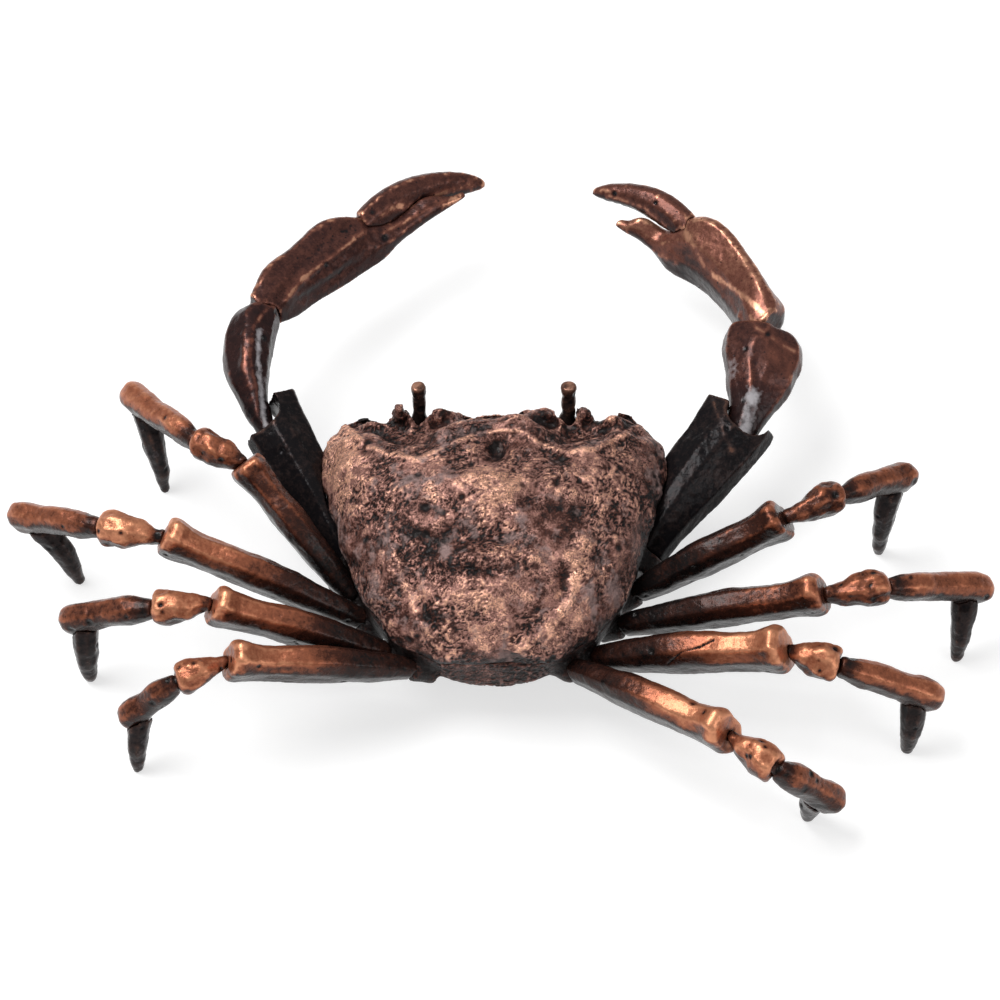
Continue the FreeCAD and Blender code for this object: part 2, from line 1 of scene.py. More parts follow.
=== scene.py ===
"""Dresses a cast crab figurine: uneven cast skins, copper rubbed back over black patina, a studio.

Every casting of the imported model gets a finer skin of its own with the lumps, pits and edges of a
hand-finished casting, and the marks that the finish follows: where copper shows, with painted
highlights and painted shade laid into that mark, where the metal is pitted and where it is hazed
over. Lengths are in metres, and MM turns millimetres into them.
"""

import itertools
import json
import logging
import math
from dataclasses import dataclass, field, replace
from enum import Enum

import bmesh
import bpy
import numpy as np
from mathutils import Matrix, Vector

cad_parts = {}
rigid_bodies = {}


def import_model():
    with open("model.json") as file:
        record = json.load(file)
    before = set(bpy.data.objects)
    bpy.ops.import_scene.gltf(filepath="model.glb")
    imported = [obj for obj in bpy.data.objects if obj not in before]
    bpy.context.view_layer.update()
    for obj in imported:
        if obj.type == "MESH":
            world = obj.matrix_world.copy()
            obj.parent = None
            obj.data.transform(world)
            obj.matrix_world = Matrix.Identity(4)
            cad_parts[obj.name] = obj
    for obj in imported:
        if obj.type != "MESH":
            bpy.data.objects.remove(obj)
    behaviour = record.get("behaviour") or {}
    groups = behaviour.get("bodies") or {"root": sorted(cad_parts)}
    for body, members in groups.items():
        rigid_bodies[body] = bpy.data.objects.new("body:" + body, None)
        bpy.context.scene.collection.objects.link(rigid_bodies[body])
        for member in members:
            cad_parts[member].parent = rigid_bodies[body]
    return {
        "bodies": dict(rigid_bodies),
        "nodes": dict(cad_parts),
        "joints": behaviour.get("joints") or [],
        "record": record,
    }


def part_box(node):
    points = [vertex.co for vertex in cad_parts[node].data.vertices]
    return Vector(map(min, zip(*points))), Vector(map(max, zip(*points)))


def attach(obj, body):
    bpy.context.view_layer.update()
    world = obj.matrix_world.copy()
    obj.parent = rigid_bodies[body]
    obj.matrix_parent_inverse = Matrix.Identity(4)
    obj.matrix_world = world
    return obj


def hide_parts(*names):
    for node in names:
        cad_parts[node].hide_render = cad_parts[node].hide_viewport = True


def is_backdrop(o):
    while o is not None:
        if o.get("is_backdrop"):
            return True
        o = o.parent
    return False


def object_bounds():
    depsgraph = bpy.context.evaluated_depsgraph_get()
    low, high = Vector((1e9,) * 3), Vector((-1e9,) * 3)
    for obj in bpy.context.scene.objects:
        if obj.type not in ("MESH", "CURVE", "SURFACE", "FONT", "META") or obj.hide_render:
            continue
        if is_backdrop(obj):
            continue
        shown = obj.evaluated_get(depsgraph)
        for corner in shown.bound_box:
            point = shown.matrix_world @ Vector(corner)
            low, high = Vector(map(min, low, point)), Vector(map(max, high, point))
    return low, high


LOG = logging.getLogger("crab_figurine")
MM = 0.001
BODY = "root"

Colour = tuple[float, float, float]
# Where a soft step, or a spread of random values, starts and ends.
Span = tuple[float, float]


class Side(Enum):
    """Left and right of the crab, as the castings' names spell them."""

    LEFT = "left"
    RIGHT = "right"


class Mark(Enum):
    """The marks on a skin that the finish reads."""

    # Worn copper, with painted highlights and painted shade laid into the same mark.
    COPPER = "copper"
    PIT = "pit"
    HAZE = "haze"


class Layer(Enum):
    """The noises of one casting, each with what it adds to the casting's seed."""

    LUMPS = 0
    FURROWS = 1
    PLACES = 2
    TEARS = 3
    STREAKS = 4
    RUBS = 5
    BLOTCHES = 7
    VEILS = 9


def smooth(low: float, high: float, values: np.ndarray) -> np.ndarray:
    """Smooth step of some values, from 0 at low to 1 at high."""
    share = np.clip((values - low) / (high - low), 0.0, 1.0)
    return share * share * (3.0 - 2.0 * share)


def at_least(lowest: float, share: np.ndarray) -> np.ndarray:
    """A share from 0 to 1, squeezed so that it starts at its lowest value."""
    return lowest + (1.0 - lowest) * share


class CastingNoise:
    """Smooth seeded noise through space, roughly -1 to 1."""

    cells = 256
    gain = 1.7

    def __init__(self, seed: int) -> None:
        """Shuffles the lattice.

        Args:
            seed: number that the whole pattern follows.
        """
        maker = np.random.default_rng(seed)
        self.order = maker.permutation(self.cells)
        leans = maker.normal(size=(self.cells, 3))
        self.leans = leans / np.linalg.norm(leans, axis=1, keepdims=True)

    def at(self, points: np.ndarray, size: float) -> np.ndarray:
        """Noise at some points.

        Args:
            points: places, one row each.
            size: width of one cell of the noise.

        Returns:
            One value for each point.
        """
        scaled = points / size
        cell = np.floor(scaled).astype(np.int64)
        inside = scaled - cell
        blend = inside**3 * (inside * (inside * 6.0 - 15.0) + 10.0)
        total = np.zeros(len(points))
        for corner in itertools.product((0, 1), repeat=3):
            key = cell + np.array(corner)
            index = self.order[key[:, 0] % self.cells]
            index = self.order[(index + key[:, 1]) % self.cells]
            index = self.order[(index + key[:, 2]) % self.cells]
            height = np.einsum("ij,ij->i", self.leans[index], inside - np.array(corner))
            weight = np.prod(np.where(np.array(corner), blend, 1.0 - blend), axis=1)
            total += height * weight
        return total * self.gain

    def rough(self, points: np.ndarray, size: float, octaves: int = 3) -> np.ndarray:
        """Noise with finer noise on it, each octave half as large.

        Args:
            points: places, one row each.
            size: width of one cell of the coarsest noise.
            octaves: how many sizes are added up.

        Returns:
            One value for each point.
        """
        total = np.zeros(len(points))
        for octave in range(octaves):
            share = 0.5**octave
            total += share * self.at(points + octave * size, size * share)
        return total


@dataclass(frozen=True)
class Viewpoint:
    """The camera: 55 degrees above the table, straight behind the crab, with a long lens."""

    frame_px: float = 1000.0
    elevation: float = math.radians(55.0)
    lens_mm: float = 120.0
    sensor_mm: float = 36.0
    distance: float = 633.3 * MM
    aside: float = 1.2 * MM
    ahead_of_rear: float = 40.0 * MM
    below_seam: float = 5.0 * MM
    clip_ratio: float = 20.0

    @property
    def target(self) -> np.ndarray:
        """Works out the point that the camera looks at, placed from the carapace.

        Returns:
            The point.
        """
        low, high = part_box("carapace")
        middle = (low[0] + high[0]) / 2.0
        return np.array([middle + self.aside, low[1] + self.ahead_of_rear, low[2] - self.below_seam])

    @property
    def towards(self) -> np.ndarray:
        """Unit vector from the crab to the camera."""
        return np.array([0.0, -math.cos(self.elevation), math.sin(self.elevation)])

    def pixels(self, points: np.ndarray) -> np.ndarray:
        """Where points fall in the picture.

        Args:
            points: places in space, one row each.

        Returns:
            Their pixels, one row each, across and down.
        """
        focal = self.frame_px * self.lens_mm / self.sensor_mm
        offset = points - self.target
        up = np.array([0.0, math.sin(self.elevation), math.cos(self.elevation)])
        depth = self.distance - offset @ self.towards
        middle = self.frame_px / 2.0
        return np.stack(
            [middle + focal * offset[:, 0] / depth, middle - focal * (offset @ up) / depth], axis=1
        )

    def build(self) -> None:
        """Makes the camera and hands it to the scene."""
        data = bpy.data.cameras.new("camera")
        data.lens = self.lens_mm
        data.sensor_width = self.sensor_mm
        data.clip_start = self.distance / self.clip_ratio
        data.clip_end = self.distance * self.clip_ratio
        camera = bpy.data.objects.new("camera", data)
        camera.location = Vector(self.target + self.distance * self.towards)
        camera.rotation_euler = (math.pi / 2.0 - self.elevation, 0.0, 0.0)
        bpy.context.scene.collection.objects.link(camera)
        bpy.context.scene.camera = camera


@dataclass(frozen=True)
class Spot:
    """A soft-edged place on the side of a skin that faces the camera."""

    x_px: float
    y_px: float
    wide_px: float
    tall_px: float
    amount: float

    def on(self, pixels: np.ndarray) -> np.ndarray:
        """How strongly each pixel lies in the spot, times its amount.

        Args:
            pixels: places in the picture, one row each.

        Returns:
            One value for each pixel.
        """
        across = (pixels[:, 0] - self.x_px) / self.wide_px
        down = (pixels[:, 1] - self.y_px) / self.tall_px
        return self.amount * np.exp(-(across**2 + down**2))


@dataclass(frozen=True)
class Trace:
    """A ridge or groove along a line of pixels on the side that faces the camera."""

    points_px: tuple[tuple[float, float], ...]
    wide_px: float
    amount: float

    def distance(self, pixels: np.ndarray) -> np.ndarray:
        """Distance of each pixel from the line.

        Args:
            pixels: places in the picture, one row each.

        Returns:
            The distances, in pixels.
        """
        nearest = np.full(len(pixels), np.inf)
        for start, end in zip(self.points_px, self.points_px[1:]):
            first, run = np.array(start), np.subtract(end, start)
            share = np.clip((pixels - first) @ run / (run @ run), 0.0, 1.0)
            gap = np.linalg.norm(pixels - first - share[:, None] * run, axis=1)
            nearest = np.minimum(nearest, gap)
        return nearest

    def on(self, pixels: np.ndarray) -> np.ndarray:
        """How strongly each pixel lies on the line, times its amount."""
        return self.amount * np.exp(-((self.distance(pixels) / self.wide_px) ** 2))

    def ahead(self, pixels: np.ndarray) -> np.ndarray:
        """How many pixels each one lies above the line."""
        across, down = zip(*self.points_px)
        return np.interp(pixels[:, 0], across, down) - pixels[:, 1]


Feature = Spot | Trace


class CastSkin:
    """A finer, slightly softened skin over one casting, with its marks."""

    merge_ratio = 100.0
    proud_share = 0.30
    proud_rounds = 12

    def __init__(self, node: str, source: bpy.types.Object, voxel: float) -> None:
        """Copies a casting's mesh, merges it and gives it an even grid of faces.

        Args:
            node: name of the casting.
            source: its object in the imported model.
            voxel: size of the grid's faces.
        """
        shaped = bmesh.new()
        shaped.from_mesh(source.data)
        bmesh.ops.remove_doubles(shaped, verts=shaped.verts, dist=voxel / self.merge_ratio)
        mesh = bpy.data.meshes.new(node + "_skin")
        shaped.to_mesh(mesh)
        shaped.free()
        self.object = bpy.data.objects.new(node + "_skin", mesh)
        bpy.context.scene.collection.objects.link(self.object)
        grid = self.object.modifiers.new("even grid", "REMESH")
        grid.mode = "VOXEL"
        grid.voxel_size = voxel
        seen = self.object.evaluated_get(bpy.context.evaluated_depsgraph_get())
        even = bpy.data.meshes.new_from_object(seen)
        self.object.modifiers.clear()
        self.object.data = even
        bpy.data.meshes.remove(mesh)
        even.name = node + "_skin"
        self.voxel = voxel
        self.mesh = even
        self.edges = np.empty(len(even.edges) * 2, dtype=np.int32)
        even.edges.foreach_get("vertices", self.edges)
        self.edges = self.edges.reshape(-1, 2)
        ends = np.bincount(self.edges.ravel(), minlength=len(even.vertices))
        self.joined = np.maximum(ends, 1)
        self.read()

    def read(self) -> None:
        """Reads points and normals from the mesh."""
        flat = np.empty(len(self.mesh.vertices) * 3)
        self.mesh.vertices.foreach_get("co", flat)
        self.points = flat.reshape(-1, 3).copy()
        self.mesh.vertex_normals.foreach_get("vector", flat)
        self.normals = flat.reshape(-1, 3).copy()

    def write(self) -> None:
        """Writes the points back and reads the new normals."""
        self.mesh.vertices.foreach_set("co", self.points.ravel())
        self.mesh.update()
        self.read()

    def averaged(self, values: np.ndarray, rounds: int) -> np.ndarray:
        """Values averaged with their neighbours.

        Args:
            values: one value or one row for each point.
            rounds: how many times they are averaged.

        Returns:
            The softened values, in the same form.
        """
        columns = values.reshape(len(values), -1).copy()
        first, second = self.edges[:, 0], self.edges[:, 1]
        for _ in range(rounds):
            for column in range(columns.shape[1]):
                value = columns[:, column]
                around = np.bincount(first, value[second], len(value))
                around += np.bincount(second, value[first], len(value))
                columns[:, column] = (value + around / self.joined) / 2.0
        return columns.reshape(values.shape)

    def soften(self, rounds: int) -> None:
        """Rounds the edges by averaging the points with their neighbours."""
        self.points = self.averaged(self.points, rounds)
        self.write()

    def edge_share(self) -> np.ndarray:
        """How far each point stands out from its surroundings.

        Returns:
            One value for each point, -1 in a crease to 1 on an edge.
        """
        soft = self.averaged(self.points, self.proud_rounds)
        proud = np.einsum("ij,ij->i", self.points - soft, self.normals)
        return np.clip(proud / (self.proud_share * self.voxel), -1.0, 1.0)

    def push(self, amount: np.ndarray) -> None:
        """Moves each point along its normal by an amount in metres."""
        self.points = self.points + self.normals * amount[:, None]
        self.write()

    def keep_inside(self, low: np.ndarray, high: np.ndarray) -> None:
        """Keeps every point between a lowest and a highest corner."""
        self.points = np.clip(self.points, low, high)
        self.write()

    def mark(self, kind: Mark, values: np.ndarray) -> None:
        """Stores a mark for the finish, with its strength at each point, 0 to 1."""
        layer = self.mesh.attributes.new(kind.value, "FLOAT", "POINT")
        layer.data.foreach_set("value", np.clip(values, 0.0, 1.0).astype(np.float32))


class NodeSheet:
    """Adds nodes to one material, or to the world, and joins them."""

    middle = 0.5
    worm_detail = 2.0
    worm_twist = 0.9
    mix_inputs = (0, 6, 7)
    mix_output = 2

    def __init__(self, owner: bpy.types.Material | bpy.types.World) -> None:
        """Empties the owner's nodes.

        Args:
            owner: the material or world that is written.
        """
        owner.use_nodes = True
        self.tree = owner.node_tree
        self.tree.nodes.clear()

    def put(self, socket: bpy.types.NodeSocket, value: object) -> None:
        """Joins a socket to another one, or sets its value.

        Args:
            socket: the input that is fed.
            value: another socket, a number, or a colour, which gets its alpha.
        """
        if isinstance(value, bpy.types.NodeSocket):
            self.tree.links.new(value, socket)
        else:
            socket.default_value = (*value, 1.0) if isinstance(value, tuple) else value

    def add(self, kind: str, *values: object) -> bpy.types.Node:
        """Adds a node.

        Args:
            kind: Blender's name for it.
            values: sockets or values for its first inputs, in order.

        Returns:
            The node.
        """
        node = self.tree.nodes.new(kind)
        for socket, value in zip(node.inputs, values):
            self.put(socket, value)
        return node

    def place(self, kind: str = "Object") -> bpy.types.NodeSocket:
        """The coordinates that a pattern follows."""
        return self.add("ShaderNodeTexCoord").outputs[kind]

    def marked(self, kind: Mark) -> bpy.types.NodeSocket:
        """Reads a mark from the skin.

        Args:
            kind: which mark it is.

        Returns:
            The socket with its strength.
        """
        node = self.add("ShaderNodeAttribute")
        node.attribute_name = kind.value
        return node.outputs["Fac"]

    def noise(self, size: float, detail: float) -> bpy.types.NodeSocket:
        """Noise whose features are about one size across.

        Args:
            size: width of a feature.
            detail: how many finer layers it has.

        Returns:
            The socket with the noise, 0 to 1.
        """
        node = self.add("ShaderNodeTexNoise", self.place())
        node.inputs["Scale"].default_value = 1.0 / size
        node.inputs["Detail"].default_value = detail
        return node.outputs["Fac"]

    def worms(self, size: float, width: float) -> bpy.types.NodeSocket:
        """Thin winding furrows.

        Args:
            size: space between them, roughly.
            width: how wide they are, as a share of the noise they follow.

        Returns:
            The socket that is 1 along each furrow and 0 between them.
        """
        noise = self.noise(size, self.worm_detail)
        noise.node.inputs["Distortion"].default_value = self.worm_twist
        away = self.sum("ABSOLUTE", self.sum("SUBTRACT", noise, self.middle), 0.0)
        return self.sum("SUBTRACT", 1.0, self.sum("DIVIDE", away, width), clamp=True)

    def pocks(self, size: float, radius: float) -> bpy.types.NodeSocket:
        """Small round pits.

        Args:
            size: space between them.
            radius: their radius as a share of that space.

        Returns:
            The socket that is 1 in the middle of each pit and 0 between them.
        """
        node = self.add("ShaderNodeTexVoronoi", self.place())
        node.inputs["Scale"].default_value = 1.0 / size
        away = self.sum("DIVIDE", node.outputs["Distance"], radius)
        return self.sum("SUBTRACT", 1.0, away, clamp=True)

    def sum(
        self, operation: str, first: object, second: object, clamp: bool = False
    ) -> bpy.types.NodeSocket:
        """One step of arithmetic on two values.

        Args:
            operation: Blender's name for it.
            first: value or socket.
            second: value or socket.
            clamp: whether the result is kept from 0 to 1.

        Returns:
            The socket with the result.
        """
        node = self.add("ShaderNodeMath", first, second)
        node.operation = operation
        node.use_clamp = clamp
        return node.outputs[0]

    def swing(self, value: bpy.types.NodeSocket, reach: float) -> bpy.types.NodeSocket:
        """A 0 to 1 value made to swing either side of zero by half a reach."""
        return self.sum("MULTIPLY", self.sum("SUBTRACT", value, self.middle), reach)

    def ramp(self, value: object, stops: tuple[tuple[float, Colour], ...]) -> bpy.types.NodeSocket:
        """Colour that follows a value.

        Args:
            value: socket from 0 to 1.
            stops: places along it and their colours.

        Returns:
            The socket with the colour.
        """
        node = self.add("ShaderNodeValToRGB", value)
        marks = node.color_ramp.elements
        marks.remove(marks[1])
        marks[0].position, marks[0].color = stops[0][0], (*stops[0][1], 1.0)
        for where, colour in stops[1:]:
            marks.new(where).color = (*colour, 1.0)
        return node.outputs["Color"]

    def blend(self, share: object, first: object, second: object) -> bpy.types.NodeSocket:
        """Mixes two colours.

        Args:
            share: socket with the share of the second colour.
            first: colour or socket.
            second: colour or socket.

        Returns:
            The socket with the mix.
        """
        node = self.add("ShaderNodeMix")
        node.data_type = "RGBA"
        for place, value in zip(self.mix_inputs, (share, first, second)):
            self.put(node.inputs[place], value)
        return node.outputs[self.mix_output]


@dataclass(frozen=True)
class AntiqueCopper:
    """Copper plating rubbed back over a black patina, from bare and bright to black, following a mark that
    also holds painted highlights and painted shade.
    """

    name: str
    patina: Colour
    brown: Colour
    copper: Colour
    # Brightest bare copper, also the colour of the painted highlights on the rubbed spots.
    bright: Colour
    haze: Colour
    patina_roughness: float = 0.30
    copper_roughness: float = 0.40
    patina_metal: float = 0.15
    copper_metal: float = 0.75
    blotch: float = 5.0 * MM
    speckle: float = 1.1 * MM
    grain: float = 0.35 * MM
    blotch_swing: float = 0.35
    speckle_swing: float = 0.45
    grain_swing: float = 0.30
    worm: float = 1.2 * MM
    worm_width: float = 0.03
    worm_amount: float = 0.0
    pock: float = 1.5 * MM
    pock_radius: float = 0.16
    pock_amount: float = 0.6
    bump_height: float = 0.10 * MM
    grain_height: float = 0.45
    pit_height: float = 0.8
    gloss: float = 0.36
    blotch_detail: float = 4.0
    speckle_detail: float = 5.0
    grain_detail: float = 2.0
    patch_from: float = 0.32
    patch_gain: float = 3.5
    pit_bare: float = 0.9
    pit_dark: float = 0.85
    brown_at: float = 0.28
    copper_at: float = 0.62
    dust_swing: float = 1.1
    dust_from: float = 0.30
    dust_gain: float = 2.0
    dust_roughness: float = 0.25
    dust_metal: float = 0.4
    roughness_swing: float = 0.22

    def material(self) -> bpy.types.Material:
        """Builds the finish once and hands it out after that.

        Returns:
            The material.
        """
        name = self.name + "_finish"
        made = bpy.data.materials.get(name)
        if made:
            return made
        made = bpy.data.materials.new(name)
        sheet = NodeSheet(made)
        blotch = sheet.noise(self.blotch, self.blotch_detail)
        speckle = sheet.noise(self.speckle, self.speckle_detail)
        grain = sheet.noise(self.grain, self.grain_detail)
        patch = sheet.sum("SUBTRACT", blotch, self.patch_from)
        patch = sheet.sum("MULTIPLY", patch, self.patch_gain, clamp=True)
        worms = sheet.sum("MULTIPLY", sheet.worms(self.worm, self.worm_width), self.worm_amount)
        pocks = sheet.sum("MULTIPLY", sheet.pocks(self.pock, self.pock_radius), self.pock_amount)
        pit = sheet.sum("MULTIPLY", sheet.sum("MAXIMUM", worms, pocks), patch)
        pit = sheet.sum("MAXIMUM", pit, sheet.marked(Mark.PIT))
        bare = sheet.sum("ADD", sheet.marked(Mark.COPPER), sheet.swing(blotch, self.blotch_swing))
        bare = sheet.sum("ADD", bare, sheet.swing(speckle, self.speckle_swing))
        bare = sheet.sum("ADD", bare, sheet.swing(grain, self.grain_swing))
        bare = sheet.sum("SUBTRACT", bare, sheet.sum("MULTIPLY", pit, self.pit_bare), clamp=True)
        colour = sheet.ramp(
            bare,
            (
                (0.0, self.patina),
                (self.brown_at, self.brown),
                (self.copper_at, self.copper),
                (1.0, self.bright),
            ),
        )
        dusty = sheet.sum("ADD", sheet.marked(Mark.HAZE), sheet.swing(speckle, self.dust_swing))
        dusty = sheet.sum("SUBTRACT", dusty, self.dust_from)
        dusty = sheet.sum("MULTIPLY", dusty, self.dust_gain, clamp=True)
        colour = sheet.blend(dusty, colour, self.haze)
        colour = sheet.blend(sheet.sum("MULTIPLY", pit, self.pit_dark, clamp=True), colour, self.patina)

        spread = self.copper_roughness - self.patina_roughness
        roughness = sheet.sum("ADD", self.patina_roughness, sheet.sum("MULTIPLY", bare, spread))
        roughness = sheet.sum("ADD", roughness, sheet.swing(speckle, self.roughness_swing))
        dulled = sheet.sum("MULTIPLY", dusty, self.dust_roughness)
        roughness = sheet.sum("ADD", roughness, dulled, clamp=True)
        metal = sheet.sum("MULTIPLY", bare, self.copper_metal - self.patina_metal)
        metal = sheet.sum("ADD", metal, self.patina_metal)
        metal = sheet.sum("SUBTRACT", metal, sheet.sum("MULTIPLY", dusty, self.dust_metal), clamp=True)

        height = sheet.sum("ADD", speckle, sheet.sum("MULTIPLY", grain, self.grain_height))
        height = sheet.sum("SUBTRACT", height, sheet.sum("MULTIPLY", pit, self.pit_height))
        bump = sheet.add("ShaderNodeBump")
        bump.inputs["Strength"].default_value = 1.0
        bump.inputs["Distance"].default_value = self.bump_height
        sheet.put(bump.inputs["Height"], height)

        shader = sheet.add("ShaderNodeBsdfPrincipled")
        sheet.put(shader.inputs["Base Color"], colour)
        sheet.put(shader.inputs["Roughness"], roughness)
        sheet.put(shader.inputs["Metallic"], metal)
        shader.inputs["Specular IOR Level"].default_value = self.gloss
        sheet.put(shader.inputs["Normal"], bump.outputs["Normal"])
        sheet.add("ShaderNodeOutputMaterial", shader.outputs["BSDF"])
        return made


SHELL_COPPER = AntiqueCopper(
    name="shell_copper",
    patina=(0.011, 0.008, 0.008),
    brown=(0.085, 0.031, 0.023),
    copper=(0.42, 0.212, 0.172),
    bright=(1.0, 0.55, 0.38),
    haze=(0.32, 0.215, 0.20),
    gloss=0.24,
    patina_roughness=0.36,
    copper_roughness=0.46,
    speckle_swing=0.62,
    grain_swing=0.55,
    worm=0.6 * MM,
    worm_width=0.045,
    worm_amount=0.75,
    pock=0.6 * MM,
    pock_radius=0.30,
    pock_amount=0.8,
    bump_height=0.26 * MM,
)
LEG_COPPER = AntiqueCopper(
    name="leg_copper",
    patina=(0.009, 0.007, 0.007),
    brown=(0.060, 0.020, 0.013),
    copper=(0.34, 0.112, 0.058),
    bright=(0.72, 0.31, 0.17),
    haze=(0.20, 0.17, 0.17),
    patina_roughness=0.22,
    gloss=0.20,
    pock=1.1 * MM,
    pock_radius=0.18,
    pock_amount=0.28,
)
CLAW_BROWN = AntiqueCopper(
    name="claw_brown",
    patina=(0.010, 0.008, 0.009),
    brown=(0.045, 0.018, 0.016),
    copper=(0.20, 0.075, 0.052),
    bright=(0.66, 0.33, 0.21),
    haze=(0.36, 0.34, 0.355),
    patina_roughness=0.24,
    copper_roughness=0.32,
    gloss=0.20,
    speckle_swing=0.32,
    grain_swing=0.22,
    blotch_swing=0.22,
    bump_height=0.06 * MM,
)
PITTED_PATINA = replace(SHELL_COPPER, name="pitted_patina")
DARK_PATINA = AntiqueCopper(
    name="dark_patina",
    patina=(0.008, 0.007, 0.008),
    brown=(0.040, 0.026, 0.024),
    copper=(0.17, 0.085, 0.060),
    bright=(0.50, 0.26, 0.18),
    haze=(0.11, 0.10, 0.11),
    patina_roughness=0.17,
    copper_roughness=0.36,
    gloss=0.09,
    bump_height=0.08 * MM,
)


@dataclass
class Casting:
    """One casting of the figurine: its skin, its unevenness, how far it is rubbed back and where
    highlights and shade are painted on it.

    Fields that end in edges are the values at which a soft step starts and ends.
    """

    node: str
    finish: AntiqueCopper
    held_by: str = "underbody"
    slot: str = ""
    polish: float = 0.5
    voxel: float = 0.28 * MM
    soften: int = 12
    lump_size: float = 5.0 * MM
    lump_depth: float = 0.36 * MM
    grain_size: float = 1.7 * MM
    grain_depth: float = 0.06 * MM
    pit_count: int = 5
    pit_radius: float = 0.5 * MM
    pit_radius_range: Span = (0.5, 1.2)
    pit_depth: float = 0.30 * MM
    pit_depth_range: Span = (0.4, 1.0)
    hazed: tuple[Feature, ...] = ()
    # Worn copper together with painted highlights and painted shade, placed as the camera sees them.
    rubbed: tuple[Feature, ...] = ()
    rubbed_size: float = 2.2 * MM
    rubbed_edges: Span = (-0.30, 0.30)
    rubbed_least: float = 0.45
    rubbed_gain: float = 0.75
    raised: tuple[Spot, ...] = ()
    grooves: tuple[Trace, ...] = ()
    rim_kept: float = 2.4 * MM
    rim_share: float = 0.1
    root_percent: float = 4.0
    axis_step: int = 7
    seen_edges: Span = (0.0, 0.25)
    # Share of copper kept on faces that turn down; below 1 it paints shade on them.
    copper_and_light_below: float = 1.0
    up_edges: Span = (0.0, 1.0)
    up_rounds: int = 3
    neck_copper: float = 1.0
    neck_edges: Span = (0.0, 1.0)
    edge_copper: float = 0.25
    crease_edges: Span = (0.35, 1.0)
    ridge_edges: Span = (0.30, 0.95)
    skin: CastSkin = field(init=False, repr=False)
    view: Viewpoint = field(init=False, repr=False)

    @property
    def seed(self) -> int:
        """A number of its own for each casting, the same in every run."""
        return sum((place + 1) * ord(letter) for place, letter in enumerate(self.node))

    def noise(self, layer: Layer) -> CastingNoise:
        """One of the casting's own noises."""
        return CastingNoise(self.seed + layer.value)

    def rough(self, layer: Layer, size: float) -> np.ndarray:
        """One of the casting's own noises at each point, with finer noise on it."""
        return self.noise(layer).rough(self.skin.points, size)

    def above(self) -> np.ndarray:
        """Height of each point above the casting's lowest one."""
        tall = self.skin.points[:, 2]
        return tall - tall.min()

    def along(self) -> np.ndarray:
        """How far along the casting each point lies.

        Returns:
            0 at the end that is held to 1 at the other.
        """
        points = self.skin.points
        middle = points.mean(axis=0)
        _, _, axes = np.linalg.svd((points - middle)[:: self.axis_step], full_matrices=False)
        low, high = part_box(self.held_by)
        holder = (np.array(low) + np.array(high)) / 2.0
        axis = axes[0] if (middle - holder) @ axes[0] > 0.0 else -axes[0]
        run = (points - middle) @ axis
        start, end = np.percentile(run, self.root_percent), run.max()
        return np.clip((run - start) / (end - start), 0.0, 1.0)

    def seen(self) -> np.ndarray:
        """1 where the skin faces the camera, 0 where it turns away."""
        return smooth(*self.seen_edges, self.skin.normals @ self.view.towards)

    def laid(self, features: tuple[Feature, ...]) -> np.ndarray:
        """Adds up some features, placed as the camera sees them.

        Args:
            features: spots and traces.

        Returns:
            One value for each point.
        """
        pixels = self.view.pixels(self.skin.points)
        total = np.zeros(len(pixels))
        for feature in features:
            total += feature.on(pixels)
        return total

    def patchy(self) -> np.ndarray:
        """Share of its rubbing, and of the highlights and shade painted with it, that each point gets,
        broken up as wear is.
        """
        broken = smooth(*self.rubbed_edges, self.rough(Layer.RUBS, self.rubbed_size))
        return self.seen() * (self.rubbed_least + self.rubbed_gain * broken)

    def upper(self) -> np.ndarray:
        """Share of its copper that each point keeps: all of it facing up, less facing down, which is worn
        copper on top and painted shade on the faces that turn down.
        """
        facing = smooth(*self.up_edges, self.skin.averaged(self.skin.normals[:, 2], self.up_rounds))
        return at_least(self.copper_and_light_below, facing)

    def neck(self) -> np.ndarray:
        """Share of its copper that each point keeps: less where the casting meets its holder."""
        return at_least(self.neck_copper, smooth(*self.neck_edges, self.along()))

    def hollows(self) -> np.ndarray:
        """Where patina is left in the creases, 0 to 1."""
        return smooth(*self.crease_edges, -self.skin.edge_share())

    def ridges(self) -> np.ndarray:
        """Where an edge is rubbed bright, 0 to 1."""
        return smooth(*self.ridge_edges, self.skin.averaged(self.skin.edge_share(), 1))

    def pits(self) -> np.ndarray:
        """Small round casting pits at random places.

        Returns:
            One value for each point, up to 1 at the bottom of a pit.
        """
        maker = np.random.default_rng(self.seed)
        points = self.skin.points
        deep = np.zeros(len(points))
        for centre in points[maker.integers(0, len(points), self.pit_count)]:
            radius = self.pit_radius * maker.uniform(*self.pit_radius_range)
            gap = np.linalg.norm(points - centre, axis=1) / radius
            deep = np.maximum(deep, np.exp(-(gap**2)) * maker.uniform(*self.pit_depth_range))
        return deep

    def lift(self) -> None:
        """Raises the places that stand higher than in the model, but not the casting's lower rim."""
        share = smooth(self.rim_share * self.rim_kept, self.rim_kept, self.above())
        self.skin.points[:, 2] += self.laid(self.raised) * MM * share
        self.skin.write()

    def sculpt(self) -> np.ndarray:
        """How far the surface is pushed out.

        Returns:
            One value for each point, in metres.
        """
        noise = self.noise(Layer.LUMPS)
        push = self.lump_depth * noise.at(self.skin.points, self.lump_size)
        push += self.grain_depth * noise.rough(self.skin.points, self.grain_size)
        return push + self.laid(self.grooves) * self.seen() * MM

    def copper(self) -> np.ndarray:
        """How far each point is rubbed back to copper all over, 0 to 1, with painted shade where faces
        turn down.
        """
        return self.polish * self.upper() * self.neck() + self.edge_copper * self.ridges()

    def haze(self) -> np.ndarray:
        """How far each point is hazed over, 0 to 1."""
        return self.laid(self.hazed) * self.seen()

